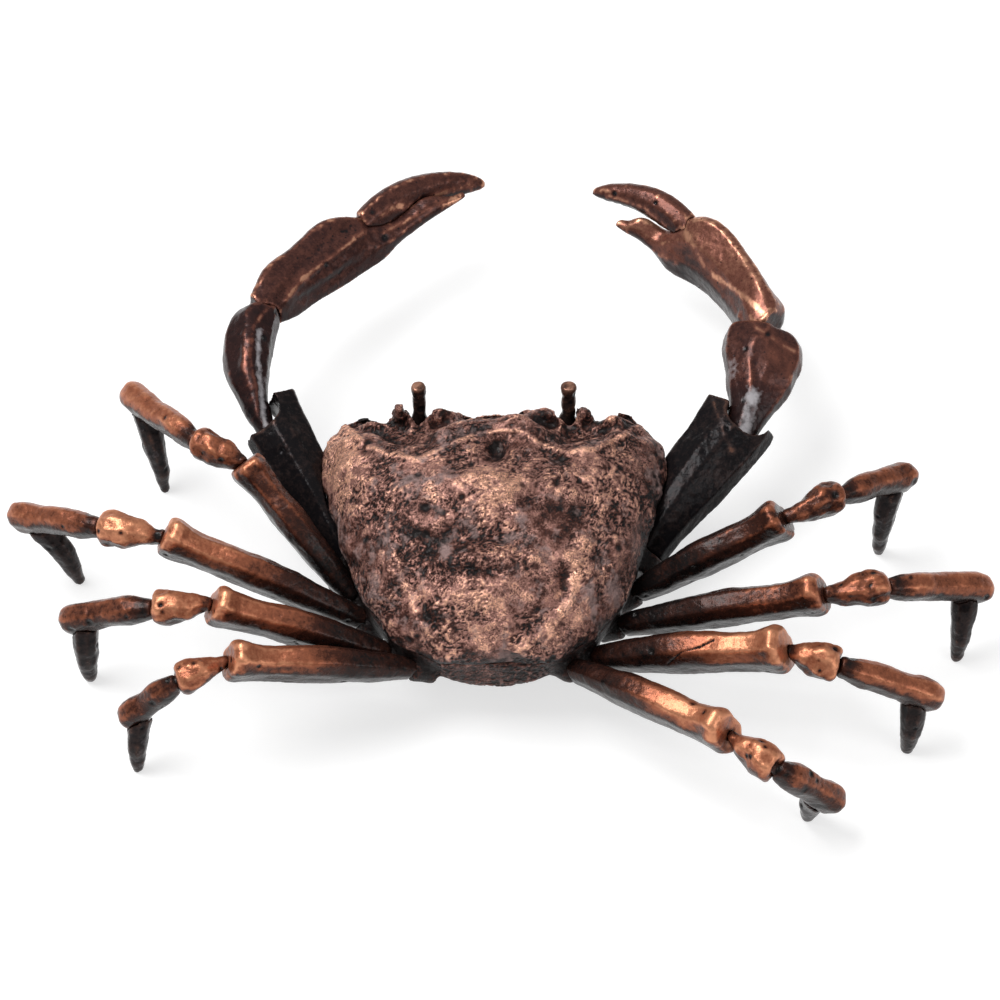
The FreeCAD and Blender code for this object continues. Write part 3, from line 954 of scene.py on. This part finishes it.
    def build(
        self, frame: dict[str, object], view: Viewpoint, box: tuple[np.ndarray, np.ndarray]
    ) -> bpy.types.Object:
        """Makes the skin, shapes it, marks it and dresses it.

        Args:
            frame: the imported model.
            view: the camera.
            box: lowest and highest corner that the figurine stays inside.

        Returns:
            The finished piece.
        """
        self.view = view
        self.skin = CastSkin(self.node, frame["nodes"][self.node], self.voxel)
        self.skin.soften(self.soften)
        if self.raised:
            self.lift()
        pitted = self.pits()
        self.skin.push(self.sculpt() - self.pit_depth * pitted)
        self.skin.keep_inside(*box)
        self.skin.mark(Mark.PIT, np.maximum(pitted, self.hollows()))
        self.skin.mark(Mark.COPPER, self.copper() + self.laid(self.rubbed) * self.patchy())
        self.skin.mark(Mark.HAZE, self.haze())
        piece = self.skin.object
        piece.data.materials.clear()
        piece.data.materials.append(self.finish.material())
        piece.data.polygons.foreach_set("use_smooth", [True] * len(piece.data.polygons))
        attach(piece, BODY)
        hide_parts(self.node)
        LOG.info("%s: %d faces", piece.name, len(piece.data.polygons))
        return piece


@dataclass
class Thigh(Casting):
    """Long blade-shaped casting: black at its root, copper on its upper face towards the knee, painted
    shade on the faces that turn down.
    """

    finish: AntiqueCopper = LEG_COPPER
    lump_depth: float = 0.22 * MM
    copper_and_light_below: float = 0.10
    up_edges: Span = (-0.10, 0.42)
    neck_copper: float = 0.15
    neck_edges: Span = (0.25, 0.80)
    knuckle_edges: Span = (0.88, 0.96)
    knuckle_copper: float = 0.15

    def copper(self) -> np.ndarray:
        """See Casting.copper."""
        along = self.along()
        edges = self.edge_copper * smooth(*self.neck_edges, along)
        edges += self.knuckle_copper * smooth(*self.knuckle_edges, along)
        return self.polish * self.upper() * self.neck() + edges * self.ridges()


@dataclass
class Knee(Casting):
    """Short knuckle, pitted, dark where it meets its neighbours."""

    finish: AntiqueCopper = LEG_COPPER
    lump_size: float = 3.2 * MM
    lump_depth: float = 0.50 * MM
    grain_depth: float = 0.11 * MM
    copper_and_light_below: float = 0.25
    up_edges: Span = (-0.15, 0.40)
    neck_copper: float = 0.10
    neck_edges: Span = (0.04, 0.26)


@dataclass
class Shin(Casting):
    """Square-edged casting that turns down into the foot at a rounded end."""

    finish: AntiqueCopper = LEG_COPPER
    copper_and_light_below: float = 0.18
    up_edges: Span = (0.0, 0.45)
    neck_copper: float = 0.10
    neck_edges: Span = (0.02, 0.18)
    edge_copper: float = 0.22
    toe_edges: Span = (0.75, 1.0)
    toe_copper: float = 0.15

    def copper(self) -> np.ndarray:
        """See Casting.copper."""
        toe = self.toe_copper * smooth(*self.toe_edges, self.along())
        return super().copper() + self.polish * toe


@dataclass
class Foot(Casting):
    """Rough dark spike that the figurine stands on, dark partly as painted shade below the body."""

    finish: AntiqueCopper = DARK_PATINA
    soften: int = 6
    lump_size: float = 4.0 * MM
    lump_depth: float = 0.24 * MM
    pit_count: int = 4
    edge_copper: float = 0.20
    dust: float = 0.35
    dust_size: float = 3.0 * MM
    dust_edges: Span = (0.0, 0.5)

    def haze(self) -> np.ndarray:
        """See Casting.haze."""
        return self.dust * smooth(*self.dust_edges, self.rough(Layer.LUMPS, self.dust_size))


@dataclass
class Arm(Casting):
    """Root casting of a claw: glossy black with worn edges."""

    finish: AntiqueCopper = DARK_PATINA
    voxel: float = 0.23 * MM
    soften: int = 7
    lump_size: float = 8.0 * MM
    lump_depth: float = 0.32 * MM
    edge_copper: float = 0.30
    worn_edges: Span = (0.4, 0.8)

    def copper(self) -> np.ndarray:
        """See Casting.copper."""
        return self.polish + self.edge_copper * self.ridges() * smooth(*self.worn_edges, self.along())


@dataclass
class Wrist(Casting):
    """Thick knuckle between arm and hand, brown on top with painted shade below, and creased along its
    length.
    """

    finish: AntiqueCopper = CLAW_BROWN
    lump_depth: float = 0.30 * MM
    crease_size: float = 4.2 * MM
    crease_depth: float = 0.35 * MM
    crease_stretch: tuple[float, float, float] = (1.0, 0.25, 0.5)
    wave_edges: Span = (0.0, 0.5)
    copper_and_light_below: float = 0.25
    up_edges: Span = (-0.05, 0.5)
    neck_copper: float = 0.2
    neck_edges: Span = (0.1, 0.5)
    edge_copper: float = 0.35

    def sculpt(self) -> np.ndarray:
        """See Casting.sculpt."""
        stretched = self.skin.points * np.array(self.crease_stretch)
        wave = self.noise(Layer.FURROWS).at(stretched, self.crease_size)
        return super().sculpt() - self.crease_depth * smooth(*self.wave_edges, wave)


@dataclass
class Hand(Casting):
    """Palm with its fixed finger: satin brown above, darker below as painted shade, copper along the
    ridges.
    """

    finish: AntiqueCopper = CLAW_BROWN
    lump_size: float = 7.0 * MM
    lump_depth: float = 0.28 * MM
    pit_count: int = 3
    rubbed_size: float = 1.4 * MM
    tooth_size: float = 2.2 * MM
    copper_and_light_below: float = 0.18
    up_edges: Span = (0.05, 0.55)
    edge_copper: float = 0.15
    flake_edges: Span = (-0.1, 0.4)
    flake_copper: float = 0.50

    def copper(self) -> np.ndarray:
        """See Casting.copper."""
        flaked = smooth(*self.flake_edges, self.rough(Layer.LUMPS, self.tooth_size))
        edges = self.edge_copper + self.flake_copper * flaked
        return self.polish * self.upper() + edges * self.ridges()


@dataclass
class Finger(Hand):
    """Upper finger of a claw, smooth above, with a worn and toothed lower edge."""

    lump_depth: float = 0.12 * MM
    tooth_depth: float = 0.22 * MM
    tooth_level: float = 0.5
    under_edges: Span = (0.0, -0.6)

    def sculpt(self) -> np.ndarray:
        """See Casting.sculpt."""
        below = smooth(*self.under_edges, self.skin.normals[:, 2])
        teeth = np.abs(self.noise(Layer.PLACES).at(self.skin.points, self.tooth_size)) - self.tooth_level
        return super().sculpt() + below * self.tooth_depth * teeth


@dataclass
class Eyestalk(Casting):
    """Rough dark stalk, wider at its base, with a rubbed copper tip."""

    finish: AntiqueCopper = DARK_PATINA
    voxel: float = 0.2 * MM
    soften: int = 4
    lump_size: float = 2.6 * MM
    lump_depth: float = 0.28 * MM
    pit_count: int = 4
    flare: float = 0.7 * MM
    flare_edges: Span = (0.45, 0.0)

    def sculpt(self) -> np.ndarray:
        """See Casting.sculpt."""
        above = self.above()
        return super().sculpt() + self.flare * smooth(*self.flare_edges, above / above.max())


@dataclass
class BodyShell(Casting):
    """One of the two shells of the body, with worm-like furrows and dimples in its skin."""

    wrinkle_size: float = 1.05 * MM
    wrinkle_depth: float = 0.20 * MM
    wrinkle_bend: float = 2.4 * MM
    wrinkle_stray: float = 0.9 * MM
    wrinkle_patch: float = 9.0 * MM
    wrinkle_least: float = 0.35
    patch_edges: Span = (-0.35, 0.35)
    furrow_edges: Span = (0.26, 0.02)
    furrow_share: float = 0.8
    furrow_dark: float = 0.45
    crease_dark: float = 0.4
    dimple_size: float = 0.85 * MM
    dimple_edges: Span = (0.16, 0.62)
    furrowed: np.ndarray = field(init=False, repr=False)

    def across(self) -> np.ndarray:
        """Distance of each point from the crab's middle line."""
        low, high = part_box("carapace")
        return np.abs(self.skin.points[:, 0] - (low[0] + high[0]) / 2.0)

    def wrinkles(self) -> np.ndarray:
        """Furrows and dimples all over the skin.

        Returns:
            One value for each point, 1 at the bottom of a furrow.
        """
        points = self.skin.points
        bend, fine = self.noise(Layer.LUMPS), self.noise(Layer.FURROWS)
        strays = [bend.at(turned, self.wrinkle_bend) for turned in (points, points[:, ::-1], -points)]
        shifted = points + self.wrinkle_stray * np.stack(strays, axis=1)
        furrow = smooth(*self.furrow_edges, np.abs(fine.at(shifted, self.wrinkle_size)))
        dimple = smooth(*self.dimple_edges, fine.at(shifted[:, ::-1], self.dimple_size))
        patchy = smooth(*self.patch_edges, self.noise(Layer.PLACES).at(points, self.wrinkle_patch))
        deepest = np.maximum(furrow * self.furrow_share, dimple)
        return np.clip(deepest * at_least(self.wrinkle_least, patchy), 0.0, 1.0)

    def hollows(self) -> np.ndarray:
        """See Casting.hollows."""
        return np.clip(self.furrow_dark * self.furrowed + self.crease_dark * super().hollows(), 0.0, 1.0)


@dataclass
class Underbody(BodyShell):
    """Dark bowl of the body, with mouth plates in front and furrows between the legs below."""

    finish: AntiqueCopper = PITTED_PATINA
    slot: str = "dark_patina"
    voxel: float = 0.36 * MM
    lump_depth: float = 0.35 * MM
    pit_count: int = 40
    edge_copper: float = 0.12
    wrinkle_depth: float = 0.30 * MM
    belly_edges: Span = (-0.5, -0.85)
    rib_spacing: float = 7.5 * MM
    rib_depth: float = 0.5 * MM
    rib_slant: float = 0.35
    rib_edges: Span = (0.80, 1.0)
    rib_side_edges: Span = (6.0 * MM, 10.0 * MM)
    front_edges: Span = (0.5, 0.8)
    mouth_half_width: float = 8.0 * MM
    mouth_relief: float = 0.7 * MM
    mouth_rim: float = 1.5 * MM
    mouth_line: float = 1.0 * MM
    mouth_line_depth: float = 0.8
    mouth_seam_edges: Span = (1.2 * MM, 0.3 * MM)
    mouth_seam_depth: float = 1.4
    rear_polish: float = 0.26
    rear_edges: Span = (-0.1, -0.6)
    rear_side_edges: Span = (12.0 * MM, 9.0 * MM)
    streak_size: float = 1.8 * MM
    streak_stretch: tuple[float, float, float] = (1.0, 1.0, 0.3)
    streak_swing: float = 0.8

    def rear(self) -> np.ndarray:
        """1 on the rear wall between the last legs, 0 elsewhere."""
        wall = smooth(*self.rear_edges, self.skin.normals[:, 1])
        return wall * smooth(*self.rear_side_edges, self.across())

    def belly(self) -> np.ndarray:
        """Furrows across the belly between the legs.

        Returns:
            How far they push each point out, in metres.
        """
        low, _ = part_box("carapace")
        across = self.across()
        turn = (self.skin.points[:, 1] - low[1] + self.rib_slant * across) / self.rib_spacing
        wave = smooth(*self.rib_edges, np.cos(2.0 * math.pi * turn))
        down = smooth(*self.belly_edges, self.skin.normals[:, 2])
        return -self.rib_depth * down * wave * smooth(*self.rib_side_edges, across)

    def mouth(self) -> np.ndarray:
        """Two plates side by side in front.

        Returns:
            How far they push each point out, in metres.
        """
        across = self.across()
        front = smooth(*self.front_edges, self.skin.normals[:, 1])
        plate = smooth(self.mouth_half_width, self.mouth_half_width - self.mouth_rim, across)
        seam = smooth(*self.mouth_seam_edges, across)
        line = np.exp(-(((across - self.mouth_half_width) / self.mouth_line) ** 2))
        relief = plate - self.mouth_seam_depth * seam - self.mouth_line_depth * line
        return front * self.mouth_relief * relief

    def sculpt(self) -> np.ndarray:
        """See Casting.sculpt."""
        self.furrowed = self.wrinkles() * self.rear()
        push = super().sculpt() + self.belly() + self.mouth()
        return push - self.wrinkle_depth * self.furrowed

    def copper(self) -> np.ndarray:
        """See Casting.copper."""
        upright = self.skin.points * np.array(self.streak_stretch)
        streaks = 1.0 + self.streak_swing * self.noise(Layer.STREAKS).rough(upright, self.streak_size)
        return self.polish + self.rear_polish * self.rear() * streaks + self.edge_copper * self.ridges()


LEFT_WELT_PX = ((394, 545), (407, 591), (419, 620), (439, 648))
RIGHT_WELT_PX = ((580, 560), (571, 600), (551, 628), (520, 648))


@dataclass
class Carapace(BodyShell):
    """Domed shell: wrinkled and pitted, with a sinuous crest behind the eyes."""

    finish: AntiqueCopper = SHELL_COPPER
    voxel: float = 0.335 * MM
    pit_count: int = 90
    pit_radius: float = 0.7 * MM
    soften: int = 2
    lump_size: float = 4.2 * MM
    lump_depth: float = 0.60 * MM
    edge_copper: float = 0.30
    blotch_size: float = 3.4 * MM
    blotch_swing: float = 0.34
    veil_size: float = 3.0 * MM
    veil: float = 0.46
    veil_edges: Span = (0.0, 0.6)
    brow_dark: float = 0.08
    brow_edges_px: Span = (1.0, 7.0)
    # Painted shade on the faces of the shell that turn down.
    painted_shade_below: float = 0.35
    under_edges: Span = (0.35, -0.2)
    rim_dark: float = 0.40
    rim_dark_edges: Span = (2.4 * MM, 0.72 * MM)
    crest: Trace = Trace(
        (
            (328, 442), (335, 428), (346, 427), (366, 445), (389, 454), (419, 459), (432, 453),
            (458, 442), (476, 435), (500, 431), (515, 430), (527, 434), (540, 444), (568, 452),
            (595, 449), (618, 438), (639, 426), (650, 424), (660, 437), (666, 462),
        ),
        3.6,
        0.45,
    )
    scoop_ahead_px: float = 13.0
    scoop_wide_px: float = 9.0
    scoop_depth: float = 0.5 * MM
    relief_height: float = 1.8 * MM
    relief: tuple[Feature, ...] = (
        # Bosses and shoulders stand up.
        Spot(494, 487, 24, 15, 0.38),
        Spot(482, 602, 24, 18, 0.32),
        Spot(350, 455, 20, 26, 0.2),
        Spot(560, 490, 16, 12, 0.2),
        Spot(600, 470, 24, 14, 0.2),
        # Two pits behind the crest, a trough and hollows sink in.
        Spot(497, 449, 8, 9, -0.8),
        Spot(561, 457, 8, 7, -0.5),
        Spot(478, 571, 42, 7, -0.45),
        Spot(430, 545, 26, 16, -0.34),
        Spot(546, 520, 14, 16, -0.30),
        Spot(575, 516, 10, 12, -0.25),
        # Two knobs beside the trough.
        Spot(536, 556, 10, 9, 0.3),
        Spot(575, 560, 12, 10, 0.3),
        # A welt along each side of the rear boss, with a groove inside it.
        Trace(LEFT_WELT_PX, 5.5, 0.15),
        Trace(((402, 548), (415, 591), (428, 620), (447, 645)), 6.5, -0.24),
        Trace(RIGHT_WELT_PX, 6.5, 0.20),
        Trace(((566, 572), (560, 600), (543, 619), (516, 638)), 7.0, -0.24),
    )
    rubbed: tuple[Feature, ...] = (
        # The crest, from left to right: worn copper along the ridge with a painted highlight on it.
        Trace(((335, 428), (346, 427), (366, 445), (389, 454), (419, 459)), 3.0, 0.50),
        Trace(((419, 459), (432, 453), (458, 442), (472, 436)), 2.4, 0.28),
        Trace(((545, 446), (568, 452), (595, 449), (618, 438), (639, 426), (650, 424)), 2.2, 0.45),
        # The left shoulder and the middle boss are the brightest: worn copper with a painted highlight,
        # the shoulder painted as lit from the left.
        Spot(340, 446, 20, 30, 1.05),
        Spot(349, 498, 15, 22, 0.34),
        Spot(494, 484, 26, 16, 0.90),
        Spot(415, 482, 40, 16, 0.16),
        # The lumps at the eyes stay black.
        Spot(404, 406, 14, 12, -0.45),
        Spot(583, 406, 14, 12, -0.45),
        Spot(440, 412, 16, 8, -0.40),
        Spot(548, 412, 14, 8, -0.40),
        # Other swellings, rubbed less, with weaker painted highlights.
        Spot(494, 508, 12, 20, 0.40),
        Spot(561, 492, 14, 10, 0.30),
        Spot(602, 470, 34, 20, 0.30),
        Spot(600, 545, 24, 36, 0.16),
        Spot(565, 590, 16, 22, 0.20),
        Spot(480, 600, 28, 24, 0.54),
        Spot(490, 640, 34, 14, 0.18),
        Spot(535, 556, 9, 8, 0.25),
        Spot(572, 556, 12, 8, 0.28),
        Spot(372, 600, 16, 40, 0.06),
        # Pits, hollows and the trough stay dark, patina with painted shade in them; the outer edges get
        # painted shade where the flanks turn away.
        Spot(497, 450, 11, 12, -0.60),
        Spot(430, 548, 42, 22, -0.36),
        Spot(485, 570, 44, 8, -0.46),
        Spot(546, 522, 14, 22, -0.28),
        Spot(575, 516, 12, 14, -0.26),
        Spot(560, 461, 9, 9, -0.34),
        Spot(362, 560, 14, 30, -0.18),
        Spot(447, 528, 16, 10, -0.20),
        Spot(400, 575, 10, 20, -0.15),
        Spot(660, 490, 11, 50, -0.45),
        Spot(642, 565, 12, 40, -0.35),
        Spot(500, 676, 90, 13, -0.42),
        Spot(345, 560, 14, 30, -0.10),
        # The welts.
        Trace(LEFT_WELT_PX, 3.5, 0.24),
        Trace(RIGHT_WELT_PX, 6.0, 0.34),
    )
    raised: tuple[Spot, ...] = (
        # The brow, at its sides and between the eyes.
        Spot(618, 420, 18, 12, 5.6),
        Spot(648, 428, 12, 10, 1.4),
        Spot(370, 418, 24, 10, 3.6),
        Spot(524, 422, 28, 9, 2.6),
        Spot(470, 424, 26, 9, 1.2),
        # The rim on each side of the eyestalks.
        Spot(411, 420, 5, 8, 4.4),
        Spot(427, 420, 5, 8, 3.4),
        Spot(561, 420, 5, 8, 3.6),
        Spot(579, 420, 5, 8, 3.6),
    )
    ragged: tuple[Spot, ...] = (Spot(404, 408, 20, 12, 1.0), Spot(576, 408, 20, 12, 1.0))
    ragged_size: float = 1.5 * MM
    ragged_depth: float = 1.7 * MM
    ragged_edges: Span = (9.5 * MM, 2.85 * MM)
    ragged_least: float = 0.15
    ragged_level: float = 0.5
    hazed: tuple[Feature, ...] = (
        # The brightest swellings are clear.
        Spot(342, 450, 24, 34, -0.60),
        Spot(494, 490, 24, 24, -0.50),
        Spot(480, 602, 28, 24, -0.40),
        Spot(566, 575, 16, 36, -0.30),
        # Four small grey spots.
        Spot(521, 519, 8, 8, 0.9),
        Spot(508, 538, 8, 8, 0.8),
        Spot(446, 548, 8, 10, 0.7),
        Spot(616, 590, 12, 16, 0.5),
        # Broader veils.
        Spot(415, 482, 36, 18, 0.44),
        Spot(470, 520, 12, 16, 0.6),
        Spot(382, 540, 12, 20, 0.4),
        Spot(452, 440, 14, 10, 0.4),
        Spot(540, 545, 14, 8, 0.4),
        Spot(540, 600, 12, 24, 0.3),
        Spot(372, 610, 22, 40, 0.36),
        Spot(596, 600, 26, 30, 0.34),
        Spot(505, 655, 10, 16, 0.5),
        Spot(340, 540, 16, 30, 0.42),
        Spot(655, 480, 9, 40, 0.42),
    )

    def sculpt(self) -> np.ndarray:
        """See Casting.sculpt."""
        pixels = self.view.pixels(self.skin.points)
        self.furrowed = self.wrinkles()
        ahead = (self.crest.ahead(pixels) - self.scoop_ahead_px) / self.scoop_wide_px
        formed = self.crest.on(pixels) * MM - self.scoop_depth * np.exp(-(ahead**2))
        formed += self.laid(self.relief) * self.relief_height
        push = super().sculpt() - self.wrinkle_depth * self.furrowed + self.seen() * formed
        torn = self.ragged_level + self.rough(Layer.TEARS, self.ragged_size)
        torn *= at_least(self.ragged_least, smooth(*self.ragged_edges, self.above()))
        return push + self.laid(self.ragged) * torn * self.ragged_depth

    def copper(self) -> np.ndarray:
        """See Casting.copper."""
        ahead = self.crest.ahead(self.view.pixels(self.skin.points))
        total = self.polish - self.brow_dark * smooth(*self.brow_edges_px, ahead)
        # Faces that turn down get painted shade.
        total -= self.painted_shade_below * smooth(*self.under_edges, self.skin.normals[:, 2])
        total -= self.rim_dark * smooth(*self.rim_dark_edges, self.above())
        total += self.blotch_swing * self.rough(Layer.BLOTCHES, self.blotch_size)
        return total + self.edge_copper * self.ridges()

    def haze(self) -> np.ndarray:
        """See Casting.haze."""
        veiled = smooth(*self.veil_edges, self.rough(Layer.VEILS, self.veil_size))
        return super().haze() + self.veil * veiled * self.seen()


@dataclass
class WalkingLeg:
    """Thigh, knee, shin and foot of one leg, each with how far it is rubbed back."""

    side: Side
    number: int
    thigh: float
    knee: float
    shin: float
    foot: float = 0.10
    cracks: tuple[Trace, ...] = ()

    def castings(self) -> list[Casting]:
        """The leg's castings, from the body outwards.

        Returns:
            Four castings.
        """
        name = f"{self.side.value}_leg_{self.number}"
        return [
            Thigh(f"{name}_thigh", polish=self.thigh, grooves=self.cracks),
            Knee(f"{name}_knee", held_by=f"{name}_thigh", polish=self.knee),
            Shin(f"{name}_shin", held_by=f"{name}_knee", polish=self.shin),
            Foot(f"{name}_foot", held_by=f"{name}_shin", polish=self.foot),
        ]


@dataclass
class Claw:
    """Arm, wrist, hand and upper finger of one claw."""

    side: Side
    arm: float
    wrist: float
    hand: float
    finger: float
    worn_white: tuple[Feature, ...] = ()
    hand_relief: tuple[Trace, ...] = ()
    # The bright features are worn copper along ridges and edges, with painted highlights on them.
    bright_arm: tuple[Feature, ...] = ()
    bright_wrist: tuple[Feature, ...] = ()
    bright_hand: tuple[Feature, ...] = ()
    bright_finger: tuple[Feature, ...] = ()

    def castings(self) -> list[Casting]:
        """The claw's castings, from the body outwards.

        Returns:
            Four castings.
        """
        name = self.side.value
        return [
            Arm(f"{name}_arm", polish=self.arm, rubbed=self.bright_arm),
            Wrist(
                f"{name}_wrist", held_by=f"{name}_arm", polish=self.wrist, hazed=self.worn_white,
                rubbed=self.bright_wrist,
            ),
            Hand(
                f"{name}_hand", held_by=f"{name}_wrist", polish=self.hand, grooves=self.hand_relief,
                rubbed=self.bright_hand,
            ),
            Finger(
                f"{name}_finger", held_by=f"{name}_hand", polish=self.finger,
                rubbed=self.bright_finger,
            ),
        ]


@dataclass
class Crab:
    """The whole figurine."""

    legs: tuple[WalkingLeg, ...] = (
        WalkingLeg(Side.LEFT, 1, thigh=0.30, knee=0.48, shin=0.60),
        WalkingLeg(Side.LEFT, 2, thigh=0.66, knee=0.82, shin=0.50),
        WalkingLeg(Side.LEFT, 3, thigh=0.64, knee=0.72, shin=0.34),
        WalkingLeg(Side.LEFT, 4, thigh=0.68, knee=0.60, shin=0.34),
        WalkingLeg(Side.RIGHT, 1, thigh=0.18, knee=0.30, shin=0.38),
        WalkingLeg(Side.RIGHT, 2, thigh=0.34, knee=0.48, shin=0.52),
        WalkingLeg(
            Side.RIGHT, 3, thigh=0.80, knee=0.70, shin=0.58,
            cracks=(Trace(((668, 664), (682, 652), (700, 647), (714, 640)), 1.0, -0.16),),
        ),
        WalkingLeg(Side.RIGHT, 4, thigh=0.80, knee=0.70, shin=0.42),
    )
    eye_tips: tuple[tuple[Side, Spot], ...] = (
        (Side.LEFT, Spot(417, 386, 4.5, 4.5, 1.4)),
        (Side.RIGHT, Spot(570, 386, 4.5, 4.5, 1.4)),
    )
    # Bright traces on the claws are worn edges with painted highlights along them.
    claws: tuple[Claw, ...] = (
        Claw(
            Side.LEFT, arm=0.02, wrist=0.16, hand=0.33, finger=0.36,
            worn_white=(
                Trace(((259, 330), (258, 360), (262, 400), (265, 425)), 3.5, 0.70),
                Trace(((277, 318), (273, 350), (269, 385)), 4.5, 0.50),
            ),
            hand_relief=(
                Trace(((286, 299), (302, 279), (332, 256), (363, 233)), 4.0, 0.40),
                Trace(((296, 272), (322, 245), (352, 226)), 6.0, -0.40),
                Trace(((300, 300), (330, 280), (368, 252)), 5.0, -0.30),
            ),
            bright_wrist=(
                Trace(((270, 305), (262, 314), (256, 324)), 2.2, 0.55),
                Trace(((246, 330), (243, 360), (250, 400)), 4.0, 0.16),
            ),
            bright_hand=(
                Trace(((286, 299), (302, 279), (332, 256), (363, 233)), 2.2, 0.22),
                Spot(303, 277, 6, 5, 0.5),
                Spot(291, 292, 5, 5, 0.4),
                Trace(((386, 231), (399, 224), (425, 211), (446, 200)), 2.0, 0.25),
            ),
            bright_finger=(
                Trace(((382, 215), (397, 207), (419, 202), (449, 191), (471, 185)), 2.6, 0.40),
                Spot(397, 207, 7, 4, 0.5),
                Spot(470, 186, 5, 4, 0.4),
            ),
        ),
        Claw(
            Side.RIGHT, arm=0.04, wrist=0.34, hand=0.62, finger=0.42,
            worn_white=(
                Spot(753, 396, 9, 11, 0.80),
                Spot(748, 420, 7, 14, 0.70),
                Spot(742, 432, 7, 7, 0.65),
                Spot(733, 370, 8, 16, 0.45),
            ),
            bright_arm=(
                Trace(((712, 398), (725, 436), (732, 451)), 1.8, 0.35),
                Spot(731, 450, 4, 4, 0.5),
            ),
            bright_wrist=(
                Trace(((745, 317), (759, 329), (781, 344), (794, 351)), 2.2, 0.36),
                Spot(774, 352, 8, 8, 0.25),
                Spot(790, 366, 12, 12, 0.20),
            ),
            bright_hand=(
                Trace(((678, 215), (692, 244), (705, 268), (736, 291), (756, 306), (770, 322)), 2.6, 0.30),
                Trace(((712, 275), (736, 291), (756, 306), (768, 320)), 2.2, 0.45),
                Spot(690, 238, 6, 6, 0.2),
                Trace(((622, 232), (645, 248), (676, 264)), 3.0, 0.35),
            ),
            bright_finger=(
                Trace(((609, 196), (625, 201), (645, 208), (656, 219), (665, 226)), 2.4, 0.42),
            ),
        ),
    )

    def castings(self) -> list[Casting]:
        """Every casting of the figurine.

        Returns:
            The castings, body first.
        """
        castings: list[Casting] = [
            Carapace("carapace", SHELL_COPPER, polish=0.56),
            Underbody("underbody", held_by="carapace", polish=0.02),
        ]
        for side, tip in self.eye_tips:
            castings.append(Eyestalk(f"{side.value}_eyestalk", polish=0.20, rubbed=(tip,)))
        for limb in (*self.legs, *self.claws):
            castings += limb.castings()
        return castings


@dataclass
class Studio:
    """Pale floor, a soft sky of light and two large lamps."""

    floor_size: float = 4.0
    floor_colour: Colour = (0.50, 0.50, 0.50)
    floor_lift: float = 0.64
    sky_top: float = 0.60
    sky_side: float = 0.24
    lamp_size: float = 0.5
    key_place: tuple[float, float, float] = (-0.40, 0.10, 0.85)
    key_power: float = 7.5
    fill_place: tuple[float, float, float] = (0.75, -0.55, 0.55)
    fill_power: float = 2.0

    def build(self) -> None:
        """Makes the floor, the sky and the lamps, and sets plain colours."""
        self.floor()
        self.sky()
        self.lamp("key", self.key_place, self.key_power)
        self.lamp("fill", self.fill_place, self.fill_power)
        bpy.context.scene.view_settings.view_transform = "Standard"

    def floor(self) -> None:
        """A large pale floor that keeps the shadow, lifted where the camera or a gloss sees it."""
        shaped = bmesh.new()
        bmesh.ops.create_grid(shaped, x_segments=1, y_segments=1, size=self.floor_size / 2.0)
        mesh = bpy.data.meshes.new("floor")
        shaped.to_mesh(mesh)
        shaped.free()
        floor = bpy.data.objects.new("floor", mesh)
        bpy.context.scene.collection.objects.link(floor)
        material = bpy.data.materials.new("floor_paper")
        sheet = NodeSheet(material)
        path = sheet.add("ShaderNodeLightPath").outputs
        shown = sheet.sum("MAXIMUM", path["Is Camera Ray"], path["Is Glossy Ray"])
        shown = sheet.sum("MAXIMUM", shown, path["Is Transmission Ray"])
        paper = sheet.add("ShaderNodeBsdfDiffuse", self.floor_colour)
        glow = sheet.add("ShaderNodeEmission")
        sheet.put(glow.inputs["Strength"], sheet.sum("MULTIPLY", shown, self.floor_lift))
        both = sheet.add("ShaderNodeAddShader", paper.outputs[0], glow.outputs[0])
        sheet.add("ShaderNodeOutputMaterial", both.outputs[0])
        mesh.materials.append(material)
        floor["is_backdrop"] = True

    def sky(self) -> None:
        """Soft light from all round, strongest from above, and white where the camera sees it."""
        world = bpy.data.worlds.new("studio")
        bpy.context.scene.world = world
        sheet = NodeSheet(world)
        height = sheet.add("ShaderNodeSeparateXYZ", sheet.place("Generated")).outputs["Z"]
        level = sheet.add("ShaderNodeMapRange", height, 0.0, 1.0, self.sky_side, self.sky_top)
        soft = sheet.add("ShaderNodeBackground")
        sheet.put(soft.inputs["Strength"], level.outputs["Result"])
        white = sheet.add("ShaderNodeBackground")
        seen = sheet.add("ShaderNodeLightPath").outputs["Is Camera Ray"]
        mix = sheet.add("ShaderNodeMixShader", seen, soft.outputs[0], white.outputs[0])
        sheet.add("ShaderNodeOutputWorld", mix.outputs[0])

    def lamp(self, name: str, place: tuple[float, float, float], power: float) -> None:
        """Hangs one large square lamp that points at the figurine.

        Args:
            name: name of the lamp.
            place: where it hangs.
            power: its power in watts.
        """
        data = bpy.data.lights.new(name, "AREA")
        data.energy = power
        data.size = self.lamp_size
        lamp = bpy.data.objects.new(name, data)
        lamp.location = place
        lamp.rotation_euler = Vector(place).to_track_quat("Z", "Y").to_euler()
        bpy.context.scene.collection.objects.link(lamp)


def main() -> None:
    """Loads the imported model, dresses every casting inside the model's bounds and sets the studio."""
    logging.basicConfig(level=logging.INFO, format="%(name)s %(message)s")
    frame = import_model()
    cad_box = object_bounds()
    view = Viewpoint()
    view.build()
    inside = (np.array(cad_box[0]), np.array(cad_box[1]))
    for casting in Crab().castings():
        casting.build(frame, view, inside)
    Studio().build()


if __name__ == "__main__":
    main()
